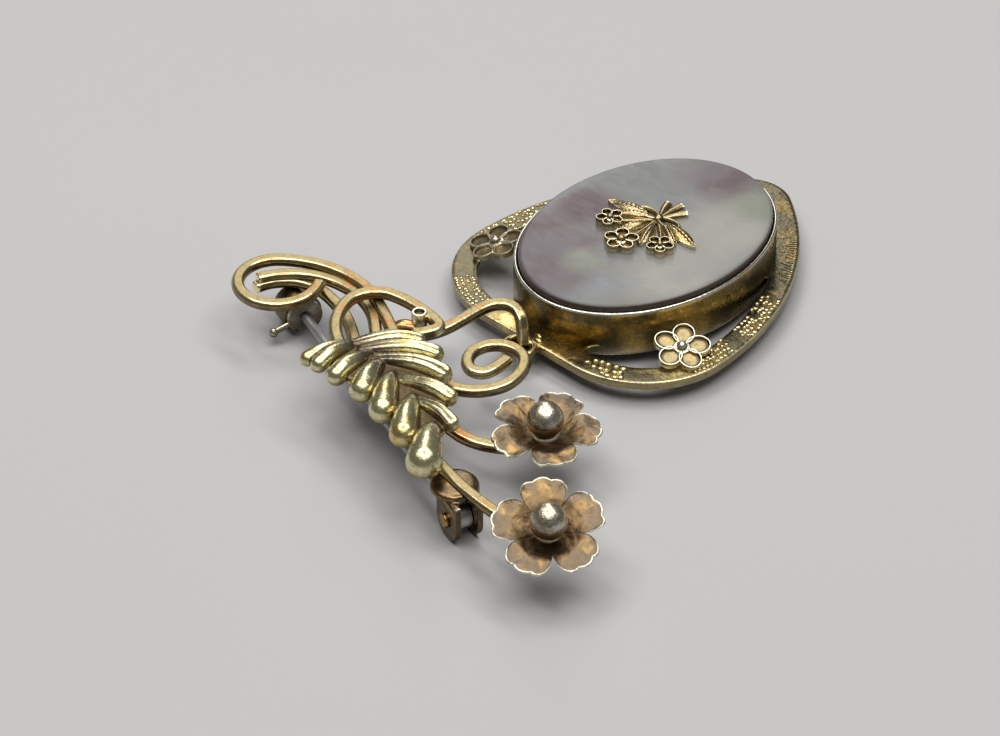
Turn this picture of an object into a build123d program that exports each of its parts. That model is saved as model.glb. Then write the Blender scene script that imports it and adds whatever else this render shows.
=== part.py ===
from build123d import *
import os
from math import asin, atan2, cos, degrees, hypot, radians, sin

# Locket brooch, in millimetres. It lies face up: +Z comes out of its face, +Y runs from the middle of the
# locket to its ring, and the origin is on the surface below the middle of the locket's back.

# Locket case
LOCKET_LENGTH = 25.4
LOCKET_WIDTH = 19.05
CASE_BOTTOM = 1.3
CASE_TOP = 5.35
CASE_WALL = 0.6
LIP_WALL = 0.32
SEAT_Z = 4.25
SEAT_THICKNESS = 0.4
SEAT_REACH = 0.5

# Heart frame round the case
HEART_HALF_WIDTH = 13.7
HEART_TOP = 14.45
SHOULDER_RADIUS = 8.45
SIDE_RADIUS = 27.0
SIDE_TURN = 55.0
BAND_WIDTH = 2.1
BAND_Z = 1.4
BAND_THICKNESS = 0.8
GAP_TOP_X = 4.4
GAP_LOW_Y = -6.2

# Small rimmed flowers on the band
BADGE_X = 10.7
BADGE_Y = 7.2
BADGE_Z = 3.15
BADGE_RADIUS = 2.4
BADGE_PETAL_RADIUS = 1.02
BADGE_THICKNESS = 0.5
BADGE_LEAN_OUT = 12
BADGE_LEAN_UP = 9
BADGE_EYE_RADIUS = 0.45

# Ring that the locket hangs by, let into the band
RING_RADIUS = 1.3
RING_WIRE_RADIUS = 0.36
RING_BITE = 0.45

# Shell face
SHELL_THICKNESS = 1.6
SHELL_EDGE_RADIUS = 0.35
FIT_GAP = 0.06

# Gilt spray on the shell, tied below its middle
SPRAY_SIZE = 10.5
SPRAY_TIE_Y = -1.5
SPRAY_BASE = 0.4
SPRAY_RELIEF = 0.25
SPRAY_STEM_WIDTH = 0.5

# Stems of the spray: angle and share of its size
SPRAY_STEMS = [
    (90, 0.44),
    (46, 0.38),
    (134, 0.38),
    (8, 0.20),
    (172, 0.20),
    (24, 0.16),
    (156, 0.16),
    (68, 0.20),
    (112, 0.20),
    (246, 0.25),
    (270, 0.28),
    (294, 0.25),
]

# Leaves of the spray: angle, then start and length as shares of its size, and width as a share of their length
SPRAY_LEAVES = [
    (8, 0.14, 0.34, 0.34),
    (172, 0.14, 0.34, 0.34),
    (68, 0.14, 0.25, 0.34),
    (112, 0.14, 0.25, 0.34),
    (24, 0.10, 0.28, 0.30),
    (156, 0.10, 0.28, 0.30),
]

# Blossoms of the spray: angle, then distance and radius as shares of its size
SPRAY_BLOSSOMS = [(90, 0.44, 0.145), (46, 0.39, 0.115), (134, 0.39, 0.115)]
SPRAY_PETAL_SHARE = 0.42
SPRAY_BEAD_SHARE = 0.25

# Bow of the spray: half length of a loop as a share of its size, its width and its hole as shares of the loop
SPRAY_BOW_SHARE = 0.11
SPRAY_LOOP_WIDTH = 0.6
SPRAY_LOOP_HOLE = 0.45

# Back cover and its hinge
COVER_RISE = 1.24
COVER_WALL = 0.5
COVER_EDGE_INSET = 0.1
COVER_FLAT_SHARE = 0.68
COVER_MIDDLE_SHARE = 0.92
KNUCKLE_RADIUS = 0.5
KNUCKLE_LENGTH = 1.6
KNUCKLE_GAP = 0.1
HINGE_PIN_RADIUS = 0.25
HINGE_OUT = 0.45
HINGE_Z = 0.9
RUNNING_GAP = 0.04

# Wire of the brooch, and its hook, which drops through the locket's ring. From here on, each x and y of the
# brooch is measured from the middle of that ring.
WIRE_RADIUS = 0.525
HOOK_LINE = (4.75, (4.15, 7.55), -129.5, 0.5, [(4.0, 36), (46, 5.5), (1.75, -129)])
HOOK_BEND_RADIUS = 0.8
HOOK_TIP_Z = 1.2

# Cut end of wire that stands up through the tight curl, and the low hump of wire beside it
PEG_X = 4.85
PEG_Y = 6.75
PEG_RADIUS = 0.65
PEG_BOTTOM = 4.4
PEG_TOP = 6.5
HUMP_X = 6.3
HUMP_Y = 8.7
HUMP_Z = 4.9
HUMP_HEADING = -131
HUMP_RADIUS = 0.8
HUMP_WIRE_RADIUS = 0.45

# Bends of each flat wire: height, start, heading, straight lead before the start, then radius and turn of each arc
WIRES = {
    "outer_stem": (4.9, (5.6, 9.0), -33, 17.0, [(31.5, 8.8), (9.4, 65.6), (3.2, 171.5), (3.5, 83), (7.2, 5.3)]),
    "middle_stem": (4.5, (8.2, 8.6), -40, 4.5, [(8.0, 47), (6.5, 62.5)]),
    "inner_stem": (3.95, (9.2, 10.2), -34.5, 3.5, [(13, 24.2), (6.9, 12.4), (3.9, 80.7)]),
    "crossing_loop": (5.8, (7.6, 13.4), -32, 1.5, [(7.1, -41), (2.7, -96), (11.4, -27), (0.7, -97), (11.8, -8)]),
    "round_scroll": (4.8, (-2.8, 10.6), -163, 4.0, [(3.95, 115), (2.3, 199), (1.1, 115), (9.6, 12)]),
    "first_stem": (4.1, (-6.0, 13.9), 171, 6.0, [(5.7, 48), (3.0, 24)]),
    "second_stem": (4.5, (-9.2, 18.2), 163, 3.0, [(26, 25)]),
}

# Leaf
LEAF_RIM_Z = 5.3
LEAF_RIDGE_Z = 6.2
LEAF_PLATE = 0.85
LEAF_POCKET = 0.5
LEAF_POCKET_SHARE = 0.6
LEAF_REACH = 5.0
LOBE_RADIUS = 1.15
LOBE_ROOT_RADIUS = 0.45
LOBE_TIP_Z = 6.05

# Midrib of the leaf: start, heading, radius and turn
MIDRIB_X = 6.4
MIDRIB_Y = 13.15
MIDRIB_HEADING = 178
MIDRIB_RADIUS = 31.3
MIDRIB_TURN = -25.2

# Lobes of the leaf: share of the way along the midrib, angle from it, share of the reach, share of the radius
LOBES = [
    (0.02, -102, 0.82, 0.58),
    (0.03, -87, 0.77, 0.64),
    (0.17, -81, 0.75, 0.75),
    (0.27, -63, 0.75, 0.87),
    (0.38, -47, 0.96, 0.94),
    (0.64, -40, 0.99, 0.98),
    (0.95, -27, 0.93, 1.30),
    (0.00, 76, 0.57, 0.50),
    (0.04, 52, 1.05, 0.54),
    (0.11, 43, 1.20, 0.59),
    (0.23, 31, 1.19, 0.66),
    (0.48, 29, 0.95, 0.58),
    (0.71, 18, 0.81, 0.54),
]

# Blossoms
BLOSSOM_RADIUS = 4.4
BLOSSOM_TRIM = 0.4
BLOSSOM_SHEET = 0.35
BLOSSOM_FLAT = 1.0
BLOSSOM_CUP = 0.75
BLOSSOM_CUP_SHARE = 0.75
BLOSSOM_BEAD_RADIUS = 1.5
BLOSSOM_BEAD_SINK = 0.1
BLOSSOM_POST_RADIUS = 0.7
BLOSSOM_POST_LENGTH = 0.7

# Place of each blossom: middle of its sheet, lean and turn about its own axis
BLOSSOM_PLACES = [
    ((-11.75, 9.2), 4.05, 4.5, -5.5),
    ((-21.0, 18.5), 4.85, 20.6, 25.0),
]
LEAN_HEADING = 134.0

# Edge of one petal, by angle from its middle and share of the radius: where its scallops start, and their crowns
PETALS = 5
PETAL_DIPS = [(-36, 0.56), (-27, 0.88), (-10, 0.96), (10, 0.96), (27, 0.88)]
PETAL_CROWNS = [(-33, 0.72), (-19, 0.98), (0, 1.02), (19, 0.98), (33, 0.72)]

# Pin, from its rivet to the middle of its catch
RIVET_X = -12.0
RIVET_Y = 19.1
CATCH_X = 17.2
CATCH_Y = 8.9
PIN_Z = 1.75
PIN_RADIUS = 0.4
PIN_POINT_LENGTH = 2.5
PIN_POINT_RADIUS = 0.08
PIN_PAST_CATCH = 1.2
EYE_RADIUS = 1.0
EYE_THICKNESS = 1.3

# Joint of the pin
EAR_THICKNESS = 0.5
EAR_GAP = 0.06
RIVET_RADIUS = 0.35
RIVET_HEAD_RADIUS = 0.62
RIVET_HEAD_HEIGHT = 0.3
RIVET_HEAD_ROUND = 0.2
JOINT_DISC_RADIUS = 2.1
JOINT_DISC_THICKNESS = 0.6
JOINT_DISC_Z = 3.95
JOINT_DISC_SHIFT = 0.9

# Catch and its lever
CATCH_BORE_RADIUS = 1.2
CATCH_LENGTH = 2.2
CATCH_SLOT = 1.2
CATCH_FOOT_WIDTH = 1.4
CATCH_FOOT_SHIFT = 0.8
CATCH_FOOT_TOP = 3.9
SLEEVE_GAP = 0.07
SLEEVE_BORE_RADIUS = 0.6
COLLAR_RADIUS = 1.55
COLLAR_THICKNESS = 0.5
LEVER_RADIUS = 0.25
LEVER_REACH = 2.95
LEVER_BALL_RADIUS = 0.4
LEVER_DROP = 15.7


def at(radius, angle, start=(0, 0)):
    """Point at a radius and an angle in degrees from a start."""
    return (start[0] + radius * cos(radians(angle)), start[1] + radius * sin(radians(angle)))


def arc_end(start, heading, radius, turn):
    """End of an arc that leaves start on a heading and turns by so many degrees."""
    side = 90 if turn > 0 else -90
    centre = at(radius, heading + side, start)
    return at(radius, heading + turn - side, centre)


def from_ring(point):
    """Point that is given from the middle of the ring, in the part's own frame."""
    return (point[0], point[1] + ring_y)


def wire_line(height, start, heading, lead, arcs):
    """Centre line of a flat bent wire: a straight lead, then arcs that each go on from the last."""
    start = from_ring(start)
    with BuildLine() as line:
        end = Line((*at(-lead, heading, start), height), (*start, height))
        for radius, turn in arcs:
            end = JernArc(start=end @ 1, tangent=end % 1, radius=radius, arc_size=turn)
    return line.line


def round_section(line, radius):
    """Round section that stands across the start of a line."""
    with BuildSketch(Plane(origin=line @ 0, z_dir=line % 0)) as section:
        Circle(radius)
    return section.sketch


def lobe_section(root, way, length, root_radius, tip_radius):
    """Half section of a long drop, narrow at its root and full at its tip, to be turned about its axis."""
    slope = degrees(asin((tip_radius - root_radius) / length))
    with BuildSketch(Plane(origin=root, x_dir=way, z_dir=way.cross(UP))) as section:
        with BuildLine():
            back = CenterArc((0, 0), root_radius, 180, slope - 90)
            front = CenterArc((length, 0), tip_radius, 90 + slope, -90 - slope)
            Line(back @ 1, front @ 0)
            Line(front @ 1, back @ 0)
        make_face()
    return section.sketch


def oval(inset=0.0, share=1.0, mode=Mode.ADD):
    """Oval of the case, shrunk to a share of itself and then by an inset."""
    Ellipse(LOCKET_WIDTH / 2 * share - inset, LOCKET_LENGTH / 2 * share - inset, mode=mode)


def blossom_points(table):
    """Points round a blossom from a table for one petal."""
    step = 360 / PETALS
    return [at(BLOSSOM_RADIUS * share, step * petal + angle) for petal in range(PETALS) for angle, share in table]


def blossom_outline():
    """Outline of a blossom, of a chain of scallops."""
    dips = blossom_points(PETAL_DIPS)
    crowns = blossom_points(PETAL_CROWNS)
    with BuildSketch() as outline:
        with BuildLine():
            for dip, crown, next_dip in zip(dips, crowns, dips[1:] + dips[:1]):
                ThreePointArc(dip, crown, next_dip)
        make_face()
    return outline.sketch


def hull_round(points, radius):
    """Outline of a band stretched round pegs of a radius at some points."""
    with BuildSketch(mode=Mode.PRIVATE) as outline:
        with Locations(*points):
            Circle(radius)
        make_hull()
    return outline.sketch


def heart_outline(inset=0.0):
    """Heart frame's edge: flat top, round shoulders, long sides and a blunt tip."""
    shoulder_x = HEART_HALF_WIDTH - SHOULDER_RADIUS
    side_start = (HEART_HALF_WIDTH - inset, HEART_TOP - SHOULDER_RADIUS)
    side_end = arc_end(side_start, -90, SIDE_RADIUS - inset, -SIDE_TURN)
    tip_radius = side_end[0] / cos(radians(SIDE_TURN))
    with BuildSketch() as outline:
        with BuildLine():
            top = Line((0, HEART_TOP - inset), (shoulder_x, HEART_TOP - inset))
            shoulder = JernArc(start=top @ 1, tangent=(1, 0), radius=SHOULDER_RADIUS - inset, arc_size=-90)
            side = JernArc(start=shoulder @ 1, tangent=(0, -1), radius=SIDE_RADIUS - inset, arc_size=-SIDE_TURN)
            tip = JernArc(start=side @ 1, tangent=side % 1, radius=tip_radius, arc_size=SIDE_TURN - 90)
            Line(tip @ 1, top @ 0)
        make_face()
        mirror(about=Plane.YZ)
    return outline.sketch


def frame_gaps():
    """The two crescents between the case and the band."""
    with BuildSketch() as gaps:
        add(heart_outline(BAND_WIDTH))
        oval(mode=Mode.SUBTRACT)
        Rectangle(2 * GAP_TOP_X, 3 * HEART_TOP, mode=Mode.SUBTRACT)
        with Locations((0, GAP_LOW_Y)):
            Rectangle(3 * HEART_HALF_WIDTH, 2 * HEART_TOP, align=(Align.CENTER, Align.MAX), mode=Mode.SUBTRACT)
    return gaps.sketch


def blade(length, width):
    """Pointed leaf shape that starts at the origin and runs along X."""
    with BuildSketch() as shape:
        with BuildLine():
            ThreePointArc((0, 0), (length / 2, width / 2), (length, 0))
            ThreePointArc((length, 0), (length / 2, -width / 2), (0, 0))
        make_face()
    return shape.sketch


def slotted_ring(outer_radius, bore_radius):
    """Ring that is open at the bottom, where the pin comes in."""
    with BuildSketch() as ring:
        Circle(outer_radius)
        Circle(bore_radius, mode=Mode.SUBTRACT)
        Rectangle(CATCH_SLOT, 2 * outer_radius, align=(Align.CENTER, Align.MAX), mode=Mode.SUBTRACT)
    return ring.sketch


UP = Vector(0, 0, 1)
ring_y = HEART_TOP + RING_RADIUS - RING_BITE

# Ways of the pin, from its rivet to its catch, and of the rivet across it
pin_span = hypot(CATCH_X - RIVET_X, CATCH_Y - RIVET_Y)
pin_heading = degrees(atan2(CATCH_Y - RIVET_Y, CATCH_X - RIVET_X))
pin_way = Vector(*at(1, pin_heading), 0)
rivet_way = Vector(*at(1, pin_heading + 90), 0)
rivet_point = Vector(*from_ring((RIVET_X, RIVET_Y)), PIN_Z)
catch_point = Vector(*from_ring((CATCH_X, CATCH_Y)), PIN_Z)
ear_inside = EYE_THICKNESS / 2 + EAR_GAP
ear_outside = ear_inside + EAR_THICKNESS
rivet_plane = Plane(rivet_point, x_dir=pin_way, z_dir=-rivet_way)
catch_plane = Plane(catch_point, x_dir=rivet_way, z_dir=pin_way)

# Knuckles of the back cover's hinge: one on the cover between two on the case
hinge_point = Vector(LOCKET_WIDTH / 2 + HINGE_OUT, 0, HINGE_Z)
hinge_plane = Plane(hinge_point, x_dir=(1, 0, 0), z_dir=(0, 1, 0))
knuckle_step = KNUCKLE_LENGTH + KNUCKLE_GAP
hinge_length = 3 * KNUCKLE_LENGTH + 2 * KNUCKLE_GAP

shell_bottom = SEAT_Z + FIT_GAP
shell_top = shell_bottom + SHELL_THICKNESS

# Leaning planes of the small flowers' upper faces
badge_planes = [
    Plane((side * BADGE_X, BADGE_Y, BADGE_Z)).rotated((-BADGE_LEAN_UP, side * BADGE_LEAN_OUT, 0))
    for side in (1, -1)
]

os.makedirs("parts", exist_ok=True)

# Locket case: oval wall, seat for the shell, heart frame, small flowers, ring and hinge knuckles in one
with BuildPart() as locket_case:
    with BuildSketch(Plane.XY.offset(BAND_Z)):
        add(heart_outline())
        add(frame_gaps(), mode=Mode.SUBTRACT)
    extrude(amount=BAND_THICKNESS)
    with BuildSketch(Plane.XY.offset(CASE_BOTTOM)):
        oval()
    extrude(amount=CASE_TOP - CASE_BOTTOM)
    with BuildSketch(Plane.XY.offset(CASE_BOTTOM)):
        oval(CASE_WALL)
    extrude(amount=SEAT_Z - SEAT_THICKNESS - CASE_BOTTOM, mode=Mode.SUBTRACT)
    with BuildSketch(Plane.XY.offset(CASE_BOTTOM)):
        oval(CASE_WALL + SEAT_REACH)
    extrude(amount=CASE_TOP - CASE_BOTTOM, mode=Mode.SUBTRACT)
    with BuildSketch(Plane.XY.offset(SEAT_Z)):
        oval(LIP_WALL)
    extrude(amount=CASE_TOP - SEAT_Z, mode=Mode.SUBTRACT)
    with BuildSketch(*badge_planes):
        Circle(BADGE_PETAL_RADIUS)
        with PolarLocations(BADGE_RADIUS - BADGE_PETAL_RADIUS, 5, start_angle=90):
            Circle(BADGE_PETAL_RADIUS)
    extrude(amount=-BADGE_THICKNESS)
    with Locations(*badge_planes):
        Sphere(BADGE_EYE_RADIUS)
    with Locations((0, ring_y, BAND_Z + BAND_THICKNESS / 2)):
        Torus(RING_RADIUS, RING_WIRE_RADIUS)
    with Locations(hinge_plane):
        with Locations((0, 0, knuckle_step), (0, 0, -knuckle_step)):
            Cylinder(KNUCKLE_RADIUS, KNUCKLE_LENGTH)
    with Locations((hinge_point.X, knuckle_step, CASE_BOTTOM), (hinge_point.X, -knuckle_step, CASE_BOTTOM)):
        Box(
            HINGE_OUT + CASE_WALL / 2,
            KNUCKLE_LENGTH,
            KNUCKLE_RADIUS,
            align=(Align.MAX, Align.CENTER, Align.MIN),
        )
    with Locations(hinge_plane):
        Cylinder(HINGE_PIN_RADIUS + RUNNING_GAP, 2 * hinge_length, mode=Mode.SUBTRACT)
locket_case.part.label = "locket_case"
export_step(locket_case.part, "parts/locket_case.step")

# Shell face: an oval slab with a rounded upper edge, dropped into the lip
with BuildPart() as shell_face:
    with BuildSketch(Plane.XY.offset(shell_bottom)):
        oval(LIP_WALL + FIT_GAP)
    extrude(amount=SHELL_THICKNESS)
    fillet(shell_face.edges().group_by(Axis.Z)[-1], SHELL_EDGE_RADIUS)
shell_face.part.label = "shell_face"
export_step(shell_face.part, "parts/shell_face.step")

# Gilt spray on the shell: stems, leaves and three blossoms tied with a bow
tie_point = (0, SPRAY_TIE_Y)
spray_plane = Plane.XY.offset(shell_top + FIT_GAP)
spray_top = shell_top + FIT_GAP + SPRAY_BASE + SPRAY_RELIEF
loop_reach = SPRAY_SIZE * SPRAY_BOW_SHARE
loop_width = loop_reach * SPRAY_LOOP_WIDTH
with BuildPart() as shell_spray:
    with BuildSketch(spray_plane):
        for angle, length_share in SPRAY_STEMS:
            length = SPRAY_SIZE * length_share
            with Locations(at(length / 2, angle, tie_point)):
                SlotOverall(length, SPRAY_STEM_WIDTH, rotation=angle)
    extrude(amount=SPRAY_BASE)
    with BuildSketch(spray_plane):
        for angle, start_share, length_share, width_share in SPRAY_LEAVES:
            length = SPRAY_SIZE * length_share
            leaf_start = at(SPRAY_SIZE * start_share, angle, tie_point)
            with Locations(Location((*leaf_start, 0), (0, 0, angle))):
                add(blade(length, length * width_share))
    extrude(amount=SPRAY_BASE + SPRAY_RELIEF / 2)
    with BuildSketch(spray_plane):
        with Locations(at(loop_reach, 0, tie_point), at(loop_reach, 180, tie_point)):
            Ellipse(loop_reach, loop_width)
            Ellipse(loop_reach * SPRAY_LOOP_HOLE, loop_width * SPRAY_LOOP_HOLE, mode=Mode.SUBTRACT)
        with Locations(tie_point):
            Circle(SPRAY_STEM_WIDTH)
    extrude(amount=SPRAY_BASE + SPRAY_RELIEF)
    for angle, distance_share, radius_share in SPRAY_BLOSSOMS:
        middle = at(SPRAY_SIZE * distance_share, angle, tie_point)
        radius = SPRAY_SIZE * radius_share
        petal_radius = radius * SPRAY_PETAL_SHARE
        with BuildSketch(spray_plane):
            with Locations(middle):
                Circle(petal_radius)
                with PolarLocations(radius - petal_radius, 5, start_angle=angle):
                    Circle(petal_radius)
        extrude(amount=SPRAY_BASE + SPRAY_RELIEF)
        with Locations((*middle, spray_top)):
            Sphere(radius * SPRAY_BEAD_SHARE)
shell_spray.part.label = "shell_spray"
export_step(shell_spray.part, "parts/shell_spray.step")

# Back cover: a shallow hollow pan with a flat middle, hinged at the locket's side
with BuildPart() as back_cover:
    with BuildSketch():
        oval(share=COVER_FLAT_SHARE)
    with BuildSketch(Plane.XY.offset(COVER_RISE / 2)):
        oval(share=COVER_MIDDLE_SHARE)
    with BuildSketch(Plane.XY.offset(COVER_RISE)):
        oval(COVER_EDGE_INSET)
    loft(ruled=True)
    with BuildSketch(Plane.XY.offset(COVER_WALL)):
        oval(COVER_WALL, COVER_FLAT_SHARE)
    with BuildSketch(Plane.XY.offset(COVER_RISE)):
        oval(COVER_EDGE_INSET + 2 * COVER_WALL)
    loft(mode=Mode.SUBTRACT)
    with Locations(hinge_plane):
        Cylinder(KNUCKLE_RADIUS, KNUCKLE_LENGTH)
    with Locations((hinge_point.X, 0, COVER_RISE)):
        Box(
            HINGE_OUT + CASE_WALL,
            KNUCKLE_LENGTH,
            KNUCKLE_RADIUS,
            align=(Align.MAX, Align.CENTER, Align.MAX),
        )
    with Locations(hinge_plane):
        Cylinder(HINGE_PIN_RADIUS + RUNNING_GAP, 2 * hinge_length, mode=Mode.SUBTRACT)
back_cover.part.label = "back_cover"
export_step(back_cover.part, "parts/back_cover.step")

# Pin of the back cover's hinge
with BuildPart() as cover_hinge_pin:
    with Locations(hinge_plane):
        Cylinder(HINGE_PIN_RADIUS, hinge_length)
cover_hinge_pin.part.label = "cover_hinge_pin"
export_step(cover_hinge_pin.part, "parts/cover_hinge_pin.step")

# Leaf: long drops along a curved midrib, joined by a plate that is hollowed from below
midrib_start = from_ring((MIDRIB_X, MIDRIB_Y))
with BuildLine() as midrib:
    JernArc(start=midrib_start, tangent=at(1, MIDRIB_HEADING), radius=MIDRIB_RADIUS, arc_size=MIDRIB_TURN)
with BuildPart() as leaf:
    tips = []
    hollows = []
    for along, angle, reach_share, radius_share in LOBES:
        foot = midrib.line @ along
        root = Vector(foot.X, foot.Y, LEAF_RIDGE_Z)
        heading = MIDRIB_HEADING + MIDRIB_TURN * along + angle
        tip = Vector(*at(LEAF_REACH * reach_share, heading, (foot.X, foot.Y)), LOBE_TIP_Z)
        run = tip - root
        section = lobe_section(root, run.normalized(), run.length, LOBE_ROOT_RADIUS, LOBE_RADIUS * radius_share)
        revolve(section, axis=Axis(root, run))
        hollow = root + run * LEAF_POCKET_SHARE
        tips.append((tip.X, tip.Y))
        hollows.append((hollow.X, hollow.Y))
    split(bisect_by=Plane.XY.offset(LEAF_RIM_Z), keep=Keep.TOP)
    rim = hull_round(tips, LOBE_RADIUS / 3)
    with BuildSketch(Plane.XY.offset(LEAF_RIM_Z)):
        add(rim)
        add(hull_round(hollows, LOBE_RADIUS / 3), mode=Mode.SUBTRACT)
    extrude(amount=LEAF_POCKET)
    with BuildSketch(Plane.XY.offset(LEAF_RIM_Z + LEAF_POCKET)):
        add(rim)
    extrude(amount=LEAF_PLATE - LEAF_POCKET)

# Blossom: a thin cupped sheet with five scalloped petals, a bead on it and a post under it
cup_radius = BLOSSOM_RADIUS * BLOSSOM_CUP_SHARE
disc_radius = BLOSSOM_RADIUS + BLOSSOM_TRIM
with BuildPart() as blossom:
    with BuildSketch(Plane.XZ):
        with BuildLine():
            Polyline(
                (0, 0),
                (BLOSSOM_FLAT, 0),
                (cup_radius, BLOSSOM_CUP),
                (disc_radius, BLOSSOM_CUP),
                (disc_radius, BLOSSOM_CUP + BLOSSOM_SHEET),
                (cup_radius, BLOSSOM_CUP + BLOSSOM_SHEET),
                (BLOSSOM_FLAT, BLOSSOM_SHEET),
                (0, BLOSSOM_SHEET),
                close=True,
            )
        make_face()
    revolve(axis=Axis.Z)
    extrude(blossom_outline(), amount=BLOSSOM_RADIUS, both=True, mode=Mode.INTERSECT)
    with Locations((0, 0, BLOSSOM_SHEET + BLOSSOM_BEAD_RADIUS - BLOSSOM_BEAD_SINK)):
        Sphere(BLOSSOM_BEAD_RADIUS)
    Cylinder(
        BLOSSOM_POST_RADIUS,
        BLOSSOM_POST_LENGTH,
        align=(Align.CENTER, Align.CENTER, Align.MAX),
    )

# Joint of the pin: a disc with two round ears, bored for the rivet
with BuildPart() as pin_joint:
    disc_middle = at(JOINT_DISC_SHIFT, pin_heading, (rivet_point.X, rivet_point.Y))
    with Locations((*disc_middle, JOINT_DISC_Z)):
        Cylinder(
            JOINT_DISC_RADIUS,
            JOINT_DISC_THICKNESS,
            align=(Align.CENTER, Align.CENTER, Align.MIN),
        )
    for offset_along in (-ear_outside, ear_inside):
        with BuildSketch(rivet_plane.offset(offset_along)):
            Circle(PIN_Z)
            Rectangle(2 * PIN_Z, JOINT_DISC_Z - PIN_Z, align=(Align.CENTER, Align.MIN))
            Circle(RIVET_RADIUS + RUNNING_GAP, mode=Mode.SUBTRACT)
        extrude(amount=EAR_THICKNESS)

# Housing of the catch: a slotted tube on a foot that is soldered under the wires
with BuildPart() as catch_housing:
    with Locations(Plane(catch_point, x_dir=pin_way, z_dir=UP)):
        with Locations((0, -CATCH_FOOT_SHIFT, 0)):
            Box(
                CATCH_LENGTH,
                CATCH_FOOT_WIDTH,
                CATCH_FOOT_TOP - PIN_Z,
                align=(Align.CENTER, Align.CENTER, Align.MIN),
            )
    with Locations(catch_plane):
        Cylinder(CATCH_BORE_RADIUS, CATCH_LENGTH, mode=Mode.SUBTRACT)
    extrude(slotted_ring(PIN_Z, CATCH_BORE_RADIUS).moved(catch_plane.location), amount=CATCH_LENGTH / 2, both=True)

# Spray of the brooch: wires, hook, leaf, blossoms, joint and catch housing, soldered into one
hook_line = wire_line(*HOOK_LINE)
with BuildPart() as brooch_spray:
    for name, bends in WIRES.items():
        line = wire_line(*bends)
        sweep(round_section(line, WIRE_RADIUS), path=line)
    sweep(round_section(hook_line, WIRE_RADIUS), path=hook_line)
    hook_plane = Plane(hook_line @ 1, x_dir=hook_line % 1, z_dir=(hook_line % 1).cross(UP))
    with BuildLine(hook_plane) as hook_drop:
        JernArc(start=(0, 0), tangent=(1, 0), radius=HOOK_BEND_RADIUS, arc_size=-90)
        Line((HOOK_BEND_RADIUS, -HOOK_BEND_RADIUS), (HOOK_BEND_RADIUS, HOOK_TIP_Z - HOOK_LINE[0]))
    sweep(round_section(hook_drop.line, WIRE_RADIUS), path=hook_drop.line)
    hump_way = Vector(*at(1, HUMP_HEADING), 0)
    hump_start = Vector(*from_ring((HUMP_X, HUMP_Y)), HUMP_Z)
    with BuildLine(Plane(hump_start, x_dir=hump_way, z_dir=hump_way.cross(UP))) as hump:
        CenterArc((HUMP_RADIUS, 0), HUMP_RADIUS, 180, -180)
    sweep(round_section(hump.line, HUMP_WIRE_RADIUS), path=hump.line)
    with Locations((*from_ring((PEG_X, PEG_Y)), PEG_BOTTOM)):
        Cylinder(PEG_RADIUS, PEG_TOP - PEG_BOTTOM, align=(Align.CENTER, Align.CENTER, Align.MIN))
    add(leaf.part)
    add(pin_joint.part)
    add(catch_housing.part)
    for point, height, lean, turn in BLOSSOM_PLACES:
        middle = Vector(*from_ring(point), height)
        axis = Vector(*at(sin(radians(lean)), LEAN_HEADING), cos(radians(lean)))
        plane = Plane(middle, x_dir=(*at(1, LEAN_HEADING + 90), 0), z_dir=axis).rotated((0, 0, turn))
        add(blossom.part.moved(plane.location))
brooch_spray.part.label = "brooch_spray"
export_step(brooch_spray.part, "parts/brooch_spray.step")

# Rivet of the pin's joint
head_middle = ear_outside + RUNNING_GAP + RIVET_HEAD_HEIGHT / 2
with BuildPart() as joint_rivet:
    with Locations(rivet_plane):
        with Locations((0, 0, head_middle), (0, 0, -head_middle)):
            Cylinder(RIVET_HEAD_RADIUS, RIVET_HEAD_HEIGHT)
    head_rims = joint_rivet.edges().sort_by(Axis(rivet_point, rivet_way))
    fillet((head_rims[0], head_rims[-1]), RIVET_HEAD_ROUND)
    with Locations(rivet_plane):
        Cylinder(RIVET_RADIUS, 2 * head_middle)
joint_rivet.part.label = "joint_rivet"
export_step(joint_rivet.part, "parts/joint_rivet.step")

# Pin: a round stem with an eye at the rivet and a point past the catch
stem_length = pin_span + CATCH_LENGTH / 2 + PIN_PAST_CATCH - PIN_POINT_LENGTH
with BuildPart() as pin_stem:
    with Locations(rivet_plane):
        Cylinder(EYE_RADIUS, EYE_THICKNESS)
    with Locations(Plane(rivet_point, z_dir=pin_way)):
        Cylinder(PIN_RADIUS, stem_length, align=(Align.CENTER, Align.CENTER, Align.MIN))
        with Locations((0, 0, stem_length)):
            Cone(PIN_RADIUS, PIN_POINT_RADIUS, PIN_POINT_LENGTH, align=(Align.CENTER, Align.CENTER, Align.MIN))
    with Locations(rivet_plane):
        Cylinder(RIVET_RADIUS + RUNNING_GAP, 2 * EYE_THICKNESS, mode=Mode.SUBTRACT)
pin_stem.part.label = "pin_stem"
export_step(pin_stem.part, "parts/pin_stem.step")

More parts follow.
